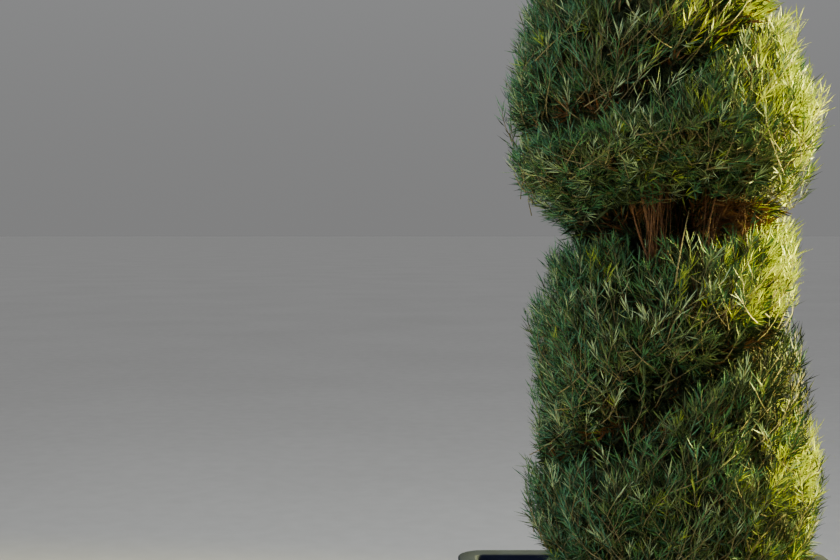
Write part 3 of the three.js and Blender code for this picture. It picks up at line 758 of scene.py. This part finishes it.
def planter_material():
    """Dark moulded plastic with a fine grain, and dust towards its foot."""
    material, tree, shader = new_material("moulded_planter", 0.6, 0.05)
    shader.inputs["Specular Tint"].default_value = (0.42, 0.52, 1.0, 1)
    base = mottled(tree, (0.0045, 0.0065, 0.020), (0.008, 0.011, 0.034), 5.0, 45.0)
    dust = mottled(tree, (0, 0, 0), (1, 1, 1), 3.0, 24.0)
    where = node(tree, "ShaderNodeTexCoord")
    height = node(tree, "ShaderNodeSeparateXYZ")
    low = node(tree, "ShaderNodeMapRange", {"From Min": 0.16, "From Max": 0.0})
    film = node(tree, "ShaderNodeMath", operation="MULTIPLY")
    faint = node(tree, "ShaderNodeMath", {1: 0.32, 2: 0.02}, operation="MULTIPLY_ADD")
    dusty = node(tree, "ShaderNodeMix", {"B": (0.085, 0.077, 0.066, 1)}, data_type="RGBA")
    rough = node(tree, "ShaderNodeMapRange", {"To Min": 0.62, "To Max": 0.85})
    pebble = node(tree, "ShaderNodeTexNoise", {"Scale": 900, "Detail": 3})
    bump = node(tree, "ShaderNodeBump", {"Strength": 0.35, "Distance": 0.0006})
    wire(
        tree,
        (where, "Object", height, 0), (height, "Z", low, "Value"), (low, 0, film, 0), (dust, "Mask", film, 1),
        (film, 0, faint, 0), (faint, 0, dusty, "Factor"), (base, "Color", dusty, "A"),
        (dusty, "Result", shader, "Base Color"),
        (dust, "Mask", rough, "Value"), (rough, 0, shader, "Roughness"),
        (where, "Object", pebble, "Vector"), (pebble, "Fac", bump, "Height"),
        (bump, "Normal", shader, "Normal"),
    )
    return material


def compost_material():
    material, tree, shader = new_material("bark_compost", 0.95, 0.15)
    mottle = mottled(tree, (0.022, 0.014, 0.009), (0.085, 0.052, 0.030), 70.0, 420.0)
    where = node(tree, "ShaderNodeTexCoord")
    lumps = node(tree, "ShaderNodeTexNoise", {"Scale": 320, "Detail": 6})
    bump = node(tree, "ShaderNodeBump", {"Distance": 0.003})
    wire(
        tree,
        (where, "Object", lumps, "Vector"), (lumps, "Fac", bump, "Height"),
        (bump, "Normal", shader, "Normal"), (mottle, "Color", shader, "Base Color"),
    )
    return material


# Pieces. The planter's and compost's sizes are in metres, all others in millimetres.

def finish_piece(piece, slot, *nodes):
    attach(piece, "root")
    if nodes:
        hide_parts(*nodes)
    return piece


def deselect_all():
    if bpy.context.mode != "OBJECT":
        bpy.ops.object.mode_set(mode="OBJECT")
    bpy.ops.object.select_all(action="DESELECT")


def added(name):
    """The object that an operator has just added, named, with its place and size applied."""
    piece = bpy.context.object
    piece.name = name
    bpy.ops.object.transform_apply(location=True, rotation=True, scale=True)
    return piece


def in_edit_mode(piece):
    bpy.context.view_layer.objects.active = piece
    piece.select_set(True)
    bpy.ops.object.mode_set(mode="EDIT")
    return bmesh.from_edit_mesh(piece.data)


def out_of_edit_mode():
    """Leaves edit mode with all normals outwards."""
    bpy.ops.mesh.select_all(action="SELECT")
    bpy.ops.mesh.normals_make_consistent(inside=False)
    bpy.ops.object.mode_set(mode="OBJECT")


def select_faces(piece, test):
    """Selects exactly the faces whose centre and normal pass the test, in edit mode."""
    mesh = bmesh.from_edit_mesh(piece.data)
    bpy.ops.mesh.select_mode(type="FACE")
    bpy.ops.mesh.select_all(action="DESELECT")
    for face in mesh.faces:
        face.select_set(test(face.calc_center_median(), face.normal))
    mesh.select_flush_mode()
    bmesh.update_edit_mesh(piece.data)


def resize_selected(x, y, z, centre=(0, 0, 0)):
    bpy.ops.transform.resize(value=(x, y, z), center_override=centre)


def push_out(distance):
    """Extrudes the selected faces along their normals."""
    bpy.ops.mesh.extrude_region_shrink_fatten(TRANSFORM_OT_shrink_fatten={"value": distance})


def extrude_by(x, y, z):
    bpy.ops.mesh.extrude_region_move(TRANSFORM_OT_translate={"value": (x, y, z)})


def apply_modifiers(piece):
    bpy.context.view_layer.objects.active = piece
    for modifier in list(piece.modifiers):
        bpy.ops.object.modifier_apply(modifier=modifier.name)


PLANTER = {
    "height": 0.410, "rim": 0.290, "base": 0.246, "wall_top": 0.276, "band": 0.285, "wall_at_band": 0.2778,
    "inner_top": 0.262, "inner_floor": 0.234, "floor": 0.012, "lip_height": 0.013, "groove_height": 0.007,
    "band_height": 0.042, "corner": 0.030, "soft_edge": 0.0022, "soft_angle": 32, "smooth_angle": 35,
}


def build_planter():
    p = PLANTER
    deselect_all()
    band_foot = p["height"] - p["lip_height"] - p["groove_height"] - p["band_height"]
    band_top = band_foot + p["band_height"]
    lip_foot = band_top + p["groove_height"]
    wall_at_top = p["base"] + (p["wall_top"] - p["base"]) * p["height"] / band_foot
    size = (2 * wall_at_top, 2 * wall_at_top, p["height"])
    bpy.ops.mesh.primitive_cube_add(size=1, location=(0, 0, p["height"] / 2), scale=size)
    planter = added("planter_tub")
    mesh = in_edit_mode(planter)
    bpy.ops.mesh.select_mode(type="EDGE")
    bpy.ops.mesh.select_all(action="DESELECT")
    for edge in mesh.edges:
        low, high = (v.co for v in edge.verts)
        edge.select_set(abs(low.z - high.z) > p["height"] / 2)
    bmesh.update_edit_mesh(planter.data)
    bpy.ops.mesh.bevel(offset=p["corner"], segments=10, profile=0.5)
    select_faces(planter, lambda centre, normal: normal.z < -0.9)
    shrink = p["base"] / wall_at_top
    resize_selected(shrink, shrink, 1)
    for height in (band_foot, band_top, lip_foot):
        bpy.ops.mesh.select_all(action="SELECT")
        bpy.ops.mesh.bisect(plane_co=(0, 0, height), plane_no=(0, 0, 1))
    select_faces(planter, lambda centre, normal: abs(normal.z) < 0.5 and band_foot < centre.z < band_top)
    push_out(p["band"] - p["wall_at_band"])
    select_faces(planter, lambda centre, normal: abs(normal.z) < 0.5 and lip_foot < centre.z)
    push_out(p["rim"] - wall_at_top)
    select_faces(planter, lambda centre, normal: normal.z > 0.9 and centre.z > p["height"] - MM)
    bpy.ops.mesh.dissolve_faces()
    bpy.ops.mesh.inset(thickness=p["rim"] - p["inner_top"])
    extrude_by(0, 0, p["floor"] - p["height"])
    narrow = p["inner_floor"] / p["inner_top"]
    resize_selected(narrow, narrow, 1)
    out_of_edit_mode()
    edges = planter.modifiers.new("soft_edges", "BEVEL")
    edges.width = p["soft_edge"]
    edges.segments = 3
    edges.limit_method = "ANGLE"
    edges.angle_limit = math.radians(p["soft_angle"])
    apply_modifiers(planter)
    bpy.ops.object.shade_smooth_by_angle(angle=math.radians(p["smooth_angle"]))
    planter.data.materials.append(planter_material())
    return finish_piece(planter, "planter", "planter")


COMPOST = {
    "half": 0.258, "level": 0.3, "fall": 0.009, "uneven": 0.0032, "lumps": 28, "sunk": 0.001,
    "calm": 0.04, "calm_over": 0.03, "cells": 150, "gap": 0.002, "thick": 0.06, "foot": 0.975,
}


def compost_height(x, y):
    """Top of the compost: level round the trunk, lower at the walls, uneven all over."""
    c = COMPOST
    share = max(abs(x), abs(y)) / c["half"]
    fall = float(ramp(share, c["level"], 1 - c["level"]))
    smooth_fall = fall * fall * (3 - 2 * fall)
    rough = noise.fractal(Vector((x, y, 0.3)) * c["lumps"], 0.8, 2.1, 4)
    away = float(ramp(math.hypot(x, y), c["calm"], c["calm_over"]))
    return SOIL_TOP * MM - c["fall"] * smooth_fall + c["uneven"] * rough * away - c["sunk"]


def build_compost():
    p, c = PLANTER, COMPOST
    deselect_all()
    inner = lerp(p["inner_floor"], p["inner_top"], (SOIL_TOP * MM - p["floor"]) / (p["height"] - p["floor"]))
    bpy.ops.mesh.primitive_grid_add(
        x_subdivisions=c["cells"], y_subdivisions=c["cells"], size=2 * (inner - c["gap"]),
        location=(0, 0, SOIL_TOP * MM),
    )
    soil = added("compost_top")
    for vertex in soil.data.vertices:
        vertex.co.z = compost_height(vertex.co.x, vertex.co.y)
    in_edit_mode(soil)
    bpy.ops.mesh.select_all(action="SELECT")
    bpy.ops.mesh.select_mode(type="EDGE")
    bpy.ops.mesh.region_to_loop()
    extrude_by(0, 0, -c["thick"])
    resize_selected(c["foot"], c["foot"], 1)
    bpy.ops.mesh.edge_face_add()
    out_of_edit_mode()
    bpy.ops.object.shade_smooth()
    soil.data.materials.append(compost_material())
    return finish_piece(soil, "compost", "compost")


CHIPS = {
    "count": 2600, "reach": 250, "clear": 34, "length": (3.0, 2.3), "lengths": (3, 21), "width": (0.35, 0.8),
    "thick": (0.12, 0.3), "top": 0.72, "uneven": (0.75, 1.2), "tilt": 0.35, "above": 0.6,
}


def build_chips(material):
    """Chips of bark strewn over the compost, each a bevel-sided flake, joined in one mesh."""
    rng = np.random.default_rng(SEEDS["chips"])
    x, y = rng.uniform(-CHIPS["reach"], CHIPS["reach"], (2, CHIPS["count"]))
    away = np.hypot(x, y) > CHIPS["clear"]
    x, y = x[away], y[away]
    count = len(x)
    z = np.array([compost_height(a * MM, b * MM) for a, b in zip(x, y)]) / MM + CHIPS["above"]
    length = rng.gamma(*CHIPS["length"], count).clip(*CHIPS["lengths"])
    width = length * rng.uniform(*CHIPS["width"], count)
    sizes = np.stack([length, width, length * rng.uniform(*CHIPS["thick"], count)], -1) / 2
    corners = np.array([[a, b, c] for c in (-1, 1) for a, b in ((-1, -1), (1, -1), (1, 1), (-1, 1))], float)
    corners[4:, :2] *= CHIPS["top"]
    corners = corners[None] * sizes[:, None] * rng.uniform(*CHIPS["uneven"], (count, 8, 1))
    spin = rng.uniform(0, FULL_TURN, count)[:, None]
    tilt, roll = rng.normal(0, CHIPS["tilt"], (2, count))[..., None]
    a, b, c = np.moveaxis(corners, -1, 0)
    upright = c + a * np.sin(tilt) + b * np.sin(roll)
    turned = np.stack([a * np.cos(spin) - b * np.sin(spin), a * np.sin(spin) + b * np.cos(spin), upright], -1)
    vertices = turned + np.stack([x, y, z], -1)[:, None]
    box = np.array([
        [0, 2, 1], [0, 3, 2], [4, 5, 6], [4, 6, 7], [0, 1, 5], [0, 5, 4],
        [1, 2, 6], [1, 6, 5], [2, 3, 7], [2, 7, 6], [3, 0, 4], [3, 4, 7],
    ])
    piece = joined_mesh("compost_chips", vertices.reshape(-1, 3), repeated(box, 8, count), material)
    return finish_piece(piece, "compost")


RELIEF = {"ridges": 260, "knots": 46, "knot_share": 0.5, "smooth_angle": 40}
TRUNK_RELIEF = {"depth": 0.0011, "stretch": 4.0}
BOUGH_RELIEF = {"depth": 0.0005, "stretch": 2.0}


def limb_by_rings(name, centres, radii, sides):
    """A closed limb: a disc extruded ring after ring along its centres, each ring resized to its radius."""
    deselect_all()
    heading = Vector(centres[-1]) - Vector(centres[0])
    bpy.ops.mesh.primitive_circle_add(
        vertices=sides, radius=radii[0], fill_type="NGON", location=centres[0],
        rotation=heading.to_track_quat("Z", "Y").to_euler(),
    )
    limb = added(name)
    in_edit_mode(limb)
    bpy.ops.mesh.select_mode(type="FACE")
    bpy.ops.mesh.select_all(action="SELECT")
    for last, centre, old, new in zip(centres, centres[1:], radii, radii[1:]):
        extrude_by(*(Vector(centre) - Vector(last)))
        ratio = new / old
        resize_selected(ratio, ratio, ratio, tuple(centre))
    out_of_edit_mode()
    return limb


def dress_in_bark(limb, relief, material):
    """Finer faces, each vertex moved along its normal by long ridges and small flakes, and the material."""
    finer = limb.modifiers.new("finer", "SUBSURF")
    finer.subdivision_type = "SIMPLE"
    finer.levels = finer.render_levels = 1
    apply_modifiers(limb)
    for vertex in limb.data.vertices:
        place = vertex.co.copy()
        place.z /= relief["stretch"]
        ridges = noise.fractal(place * RELIEF["ridges"], 0.7, 2.2, 4)
        knots = noise.noise(vertex.co * RELIEF["knots"])
        vertex.co += vertex.normal * relief["depth"] * (ridges + RELIEF["knot_share"] * knots)
    limb.data.update()
    bpy.ops.object.shade_smooth_by_angle(angle=math.radians(RELIEF["smooth_angle"]))
    limb.data.materials.append(material)


def build_trunk(material):
    between_buttresses = math.pi / (2 * TRUNK["buttress_count"])
    shares = np.linspace(0, 1, TRUNK["rings"]) ** TRUNK["crowding"]
    heights = lerp(SOIL_TOP + TRUNK["above_soil"], TRUNK["tip"], shares)
    centres = [tuple(c * MM) for c in trunk_middle_at(heights)]
    radii = [float(trunk_radius_at(h, between_buttresses)) * MM for h in heights]
    trunk = limb_by_rings("trunk_bark", centres, radii, TRUNK["sides"])
    for vertex in trunk.data.vertices:
        height = vertex.co.z / MM
        centre = trunk_middle_at(height) * MM
        out = Vector((vertex.co.x - centre[0], vertex.co.y - centre[1], 0))
        if out.length > 1e-5:
            angle = math.atan2(out.y, out.x)
            out *= float(trunk_radius_at(height, angle) / trunk_radius_at(height, between_buttresses))
            vertex.co.x, vertex.co.y = centre[0] + out.x, centre[1] + out.y
    dress_in_bark(trunk, TRUNK_RELIEF, material)
    return finish_piece(trunk, "bark", "trunk")


def mass_spans():
    span = (TURNS_TO - TURNS_FROM) / MASSES
    return [(TURNS_FROM + i * span, TURNS_FROM + (i + 1) * span - MASS_GAP) for i in range(MASSES)]


def build_bough(number, start, end, material):
    entry, outwards = bough_line(start, end)
    tip = entry - outwards * (STEM["out"] + BOUGH["gap"])
    length = distance_to_trunk(start, end) - STEM["out"] + BOUGH["overlap"]
    root = tip - outwards * length
    middle = (root + tip) / 2 - UP * BOUGH["sag"]
    grown = (length + TRUNK["foot_radius"] * BOUGH["in_trunk"]) / BOUGH["full_length"]
    girth = BOUGH["radius"] * lerp(BOUGH["least_girth"], 1, grown)
    shares = np.linspace(0, 1, BOUGH["rings"])
    curve = arched(root[None], middle[None], tip[None], BOUGH["rings"])[0]
    centres = [tuple(point * MM) for point in curve]
    collar = 1 + BOUGH["collar"] * np.exp(-shares * BOUGH["collar_fall"])
    radii = girth * lerp(1, BOUGH["taper"], shares) * collar * MM
    bough = limb_by_rings(f"bough_bark_{number}", centres, radii.tolist(), BOUGH["sides"])
    dress_in_bark(bough, BOUGH_RELIEF, material)
    return finish_piece(bough, "bark", f"bough_{number}")


NECK_FORKS = [
    {"turn": 0.957, "radius": 112, "height": 886, "tops": (0.914, 1.000), "count": 46},
    {"turn": 1.046, "radius": 112, "height": 884, "tops": (1.058, 1.135), "count": 14},
    {"turn": 1.110, "radius": 120, "height": 900, "tops": (1.110, 1.190), "count": 12},
    {"turn": 1.010, "radius": 46, "height": 870, "tops": (0.960, 1.080), "count": 10},
]
NECK = {
    "top": 984, "turn": 0.010, "radius": 8, "height": 9, "top_radius": (-24, 24), "top_height": (-8, 12),
    "bend": (0.35, 0.7), "aside": 6, "girth": (3.0, 0.17), "girths": (0.25, 1.1), "tapers": (1.2, 0.6),
    "points": 7, "sides": 5,
}
LONE_STEM = {
    "turns": (0.982, 0.990, 1.015), "radii": (165, 150, 118), "heights": (861, 899, 948), "girth": 0.9,
    "tapers": (1.1, 0.6), "points": 8, "sides": 5,
}
BRANCHLET = {"radii": np.linspace(2.6, 1.5, 6), "sag": 0.10, "sides": 5}
TWIG = {"radii": np.array([1.5, 1.2, 0.95]), "sag": 0.05, "sides": 3}
SHOOT_TIP = {"girth": 0.3, "sides": 3}
SHOOT_STEMS = [
    {"kind": "cover", "points": 3, "girth": 0.8, "brown": False},
    {"kind": "wand", "points": 5, "girth": 0.85, "brown": False},
    {"kind": "deep", "points": 3, "girth": 0.9, "brown": True},
    {"kind": "floor", "points": 2, "girth": 1.0, "brown": True},
]


def on_spiral(turns, radii, heights):
    """Points at some radii round the plant's middle."""
    return middle_at(heights) + level_way(turn_angle(turns)) * np.asarray(radii, float)[:, None]


def neck_stems():
    """Bare upright twigs that fan out of a few forks across the open front of the deepest groove."""
    rng = np.random.default_rng(SEEDS["neck"])
    tapers = np.linspace(*NECK["tapers"], NECK["points"])
    paths, radii = [], []
    for fork in NECK_FORKS:
        count = fork["count"]
        lows = on_spiral(
            fork["turn"] + rng.normal(0, NECK["turn"], count),
            fork["radius"] + rng.normal(0, NECK["radius"], count),
            fork["height"] + rng.normal(0, NECK["height"], count),
        )
        highs = on_spiral(
            rng.uniform(*fork["tops"], count),
            fork["radius"] + rng.uniform(*NECK["top_radius"], count),
            NECK["top"] + rng.uniform(*NECK["top_height"], count),
        )
        bends = lerp(lows, highs, rng.uniform(*NECK["bend"], (count, 1)))
        bends = bends + rng.normal(0, NECK["aside"], lows.shape)
        paths.append(arched(lows, bends, highs, NECK["points"]))
        radii.append(rng.gamma(*NECK["girth"], count).clip(*NECK["girths"])[:, None] * tapers)
    return np.concatenate(paths), np.concatenate(radii)


def lone_stem():
    """One long pale stem that stands across the hole in the neck."""
    low, bend, high = on_spiral(LONE_STEM["turns"], LONE_STEM["radii"], LONE_STEM["heights"])[:, None]
    tapers = np.linspace(*LONE_STEM["tapers"], LONE_STEM["points"])
    return arched(low, bend, high, LONE_STEM["points"]), LONE_STEM["girth"] * tapers[None]


def joined_parts(name, parts, material):
    vertices, triangles, offset = [], [], 0
    for some_vertices, some_triangles in parts:
        vertices.append(some_vertices)
        triangles.append(some_triangles + offset)
        offset += len(some_vertices)
    return joined_mesh(name, np.concatenate(vertices), np.concatenate(triangles), material, smooth=True)


def sagging_tubes(masses, kind, rule):
    """Tubes of one girth along all the branchlets or all the twigs."""
    starts, ends = (np.concatenate([mass[kind][i] for mass in masses]) for i in (0, 1))
    paths = sagging(starts, ends, len(rule["radii"]), rule["sag"])
    return tubes(paths, np.repeat(rule["radii"][None], len(starts), 0), rule["sides"])


def build_twigs(masses, bark, green_bark):
    """Stems, branchlets, twigs and neck in one piece, and the stems of each kind of shoot in their own."""
    starts, ends, girths = (np.array(values) for values in zip(*(mass["stem"] for mass in masses)))
    straight = sagging(starts, ends, len(STEM["tapers"]), 0.0)
    parts = [
        tubes(straight, girths[:, None] * STEM["tapers"], STEM["sides"]),
        sagging_tubes(masses, "branchlets", BRANCHLET),
        sagging_tubes(masses, "twigs", TWIG),
        tubes(*neck_stems(), NECK["sides"]),
    ]
    pieces = [joined_parts("twigs", parts, bark)]
    for stems in SHOOT_STEMS:
        shoots = [mass[stems["kind"]] for mass in masses]
        paths = [arched(some["hub"], some["bend"], some["end"], stems["points"]) for some in shoots]
        paths = np.concatenate(paths)
        radii = np.linspace(stems["girth"], SHOOT_TIP["girth"], stems["points"])[None]
        parts = [tubes(paths, np.repeat(radii, len(paths), 0), SHOOT_TIP["sides"])]
        if stems["kind"] == "wand":
            parts.append(tubes(*lone_stem(), LONE_STEM["sides"]))
        pieces.append(joined_parts(f"stems_{stems['kind']}", parts, bark if stems["brown"] else green_bark))
    return pieces


def build_leaves(masses):
    """Leaves of every mass, dealt by spray to the leaf colours and joined in pieces of one colour."""
    rng = np.random.default_rng(SEEDS["leaves"])
    by_colour = [[] for _ in LEAF_COLOURS]
    for mass in masses:
        for kind_name, kind in SHOOTS.items():
            shoots = mass[kind_name]
            span = mass["span"] if kind_name != "floor" else None
            corners, shoot, place = leaves_on(shoots, kind, span, rng)
            colours = deal_colours(shoots, kind_name, rng)[shoot]
            # Painted shade: most leaves near the foot of a shoot take the shade colour, all but the dry ones.
            inner = rng.random(len(place)) > INNER_LEAVES["fade"] * (place - INNER_LEAVES["from"])
            colours[inner & (colours != DRY)] = SHADE
            for number, pile in enumerate(by_colour):
                pile.append(corners[colours == number])
    pieces = []
    for (name, (first, second, roughness)), pile in zip(LEAF_COLOURS.items(), by_colour):
        material = mottled_material(f"leaf_{name}", first, second, roughness, 9.0, 140.0)
        leaves = np.concatenate(pile)
        parts = max(1, math.ceil(len(leaves) / LEAVES_A_PIECE))
        for part, some in enumerate(np.array_split(leaves, parts)):
            triangles = repeated(LEAF_TRIANGLES, LEAF_CORNERS, len(some))
            pieces.append(joined_mesh(f"leaves_{name}_{part + 1}", some.reshape(-1, 3), triangles, material))
    return pieces


def build_plant():
    bark = bark_material("trunk_bark", (0.060, 0.030, 0.018), (0.170, 0.092, 0.056), 90.0, 4.0, 0.0012)
    twig_bark = bark_material("twig_bark", (0.085, 0.036, 0.015), (0.190, 0.088, 0.038), 220.0, 2.0, 0.0004)
    shoot_bark = bark_material("shoot_bark", (0.170, 0.140, 0.066), (0.280, 0.238, 0.122), 300.0, 2.0, 0.0002)
    build_trunk(bark)
    masses = []
    for index, (start, end) in enumerate(mass_spans()):
        number = f"{index + 1:02d}"
        if f"bough_{number}" in NODES:
            build_bough(number, start, end, bark)
        masses.append(grow_mass(index, start, end))
    masses.append(grow_tip())
    for piece in build_twigs(masses, twig_bark, shoot_bark):
        finish_piece(piece, "bark")
    for piece in build_leaves(masses):
        finish_piece(piece, "foliage", *FOLIAGE_NODES)


# Floor, lights and camera, in metres.

FLOOR_WIDTH = 600


def build_floor():
    deselect_all()
    bpy.ops.mesh.primitive_plane_add(size=FLOOR_WIDTH, location=(0, 0, 0))
    floor = bpy.context.object
    floor.name = "floor"
    pale = mottled_material("pale_floor", (0.60, 0.59, 0.57), (0.66, 0.65, 0.63), 0.8, 0.8, 14.0)
    floor.data.materials.append(pale)


def soft_light(name, place, aim, size, energy, colour, spread):
    data = bpy.data.lights.new(name, "AREA")
    data.shape = "DISK"
    data.spread = math.radians(spread)
    data.size = size
    data.energy = energy
    data.color = colour
    light = bpy.data.objects.new(name, data)
    light.location = place
    light.rotation_euler = (Vector(aim) - Vector(place)).to_track_quat("-Z", "Y").to_euler()
    bpy.context.collection.objects.link(light)


def build_studio():
    build_floor()
    soft_light("warm_side", (2.72, 1.00, 2.00), (0, 0, 1.0), 1.4, 305, (1.0, 0.92, 0.24), 50)
    soft_light("cool_side", (-2.6, -1.6, 1.9), (0, 0, 0.9), 2.6, 38, (0.88, 0.96, 1.0), 120)
    soft_light("overhead", (0.2, -0.8, 3.4), (0, 0, 0.8), 2.2, 24, (0.97, 1.0, 0.96), 120)
    world = bpy.data.worlds.new("studio")
    world.use_nodes = True
    tree = world.node_tree
    background = tree.nodes["Background"]
    background.inputs["Strength"].default_value = 0.4
    where = node(tree, "ShaderNodeTexCoord")
    height = node(tree, "ShaderNodeSeparateXYZ")
    limits = {"From Min": -0.02, "From Max": 0.75}
    rise = node(tree, "ShaderNodeMapRange", limits, interpolation_type="SMOOTHSTEP")
    colours = {"A": (0.55, 0.552, 0.553, 1), "B": (1.0, 1.02, 1.05, 1)}
    mix = node(tree, "ShaderNodeMix", colours, data_type="RGBA")
    wire(
        tree,
        (where, "Generated", height, 0), (height, "Z", rise, "Value"), (rise, 0, mix, "Factor"),
        (mix, "Result", background, "Color"),
    )
    bpy.context.scene.world = world


def build_camera():
    data = bpy.data.cameras.new("photo_view")
    data.sensor_width = SENSOR_WIDTH
    data.lens = SENSOR_WIDTH * FOCAL_PIXELS / IMAGE_WIDTH
    camera = bpy.data.objects.new("photo_view", data)
    camera.location = CAMERA_PLACE
    tilt = math.atan((IMAGE_HEIGHT / 2 - HORIZON_ROW) / FOCAL_PIXELS)
    camera.rotation_euler = (math.pi / 2 - tilt, 0, 0)
    bpy.context.collection.objects.link(camera)
    bpy.context.scene.camera = camera


build_camera()
build_studio()
build_planter()
compost = build_compost()
build_chips(compost.data.materials[0])
build_plant()
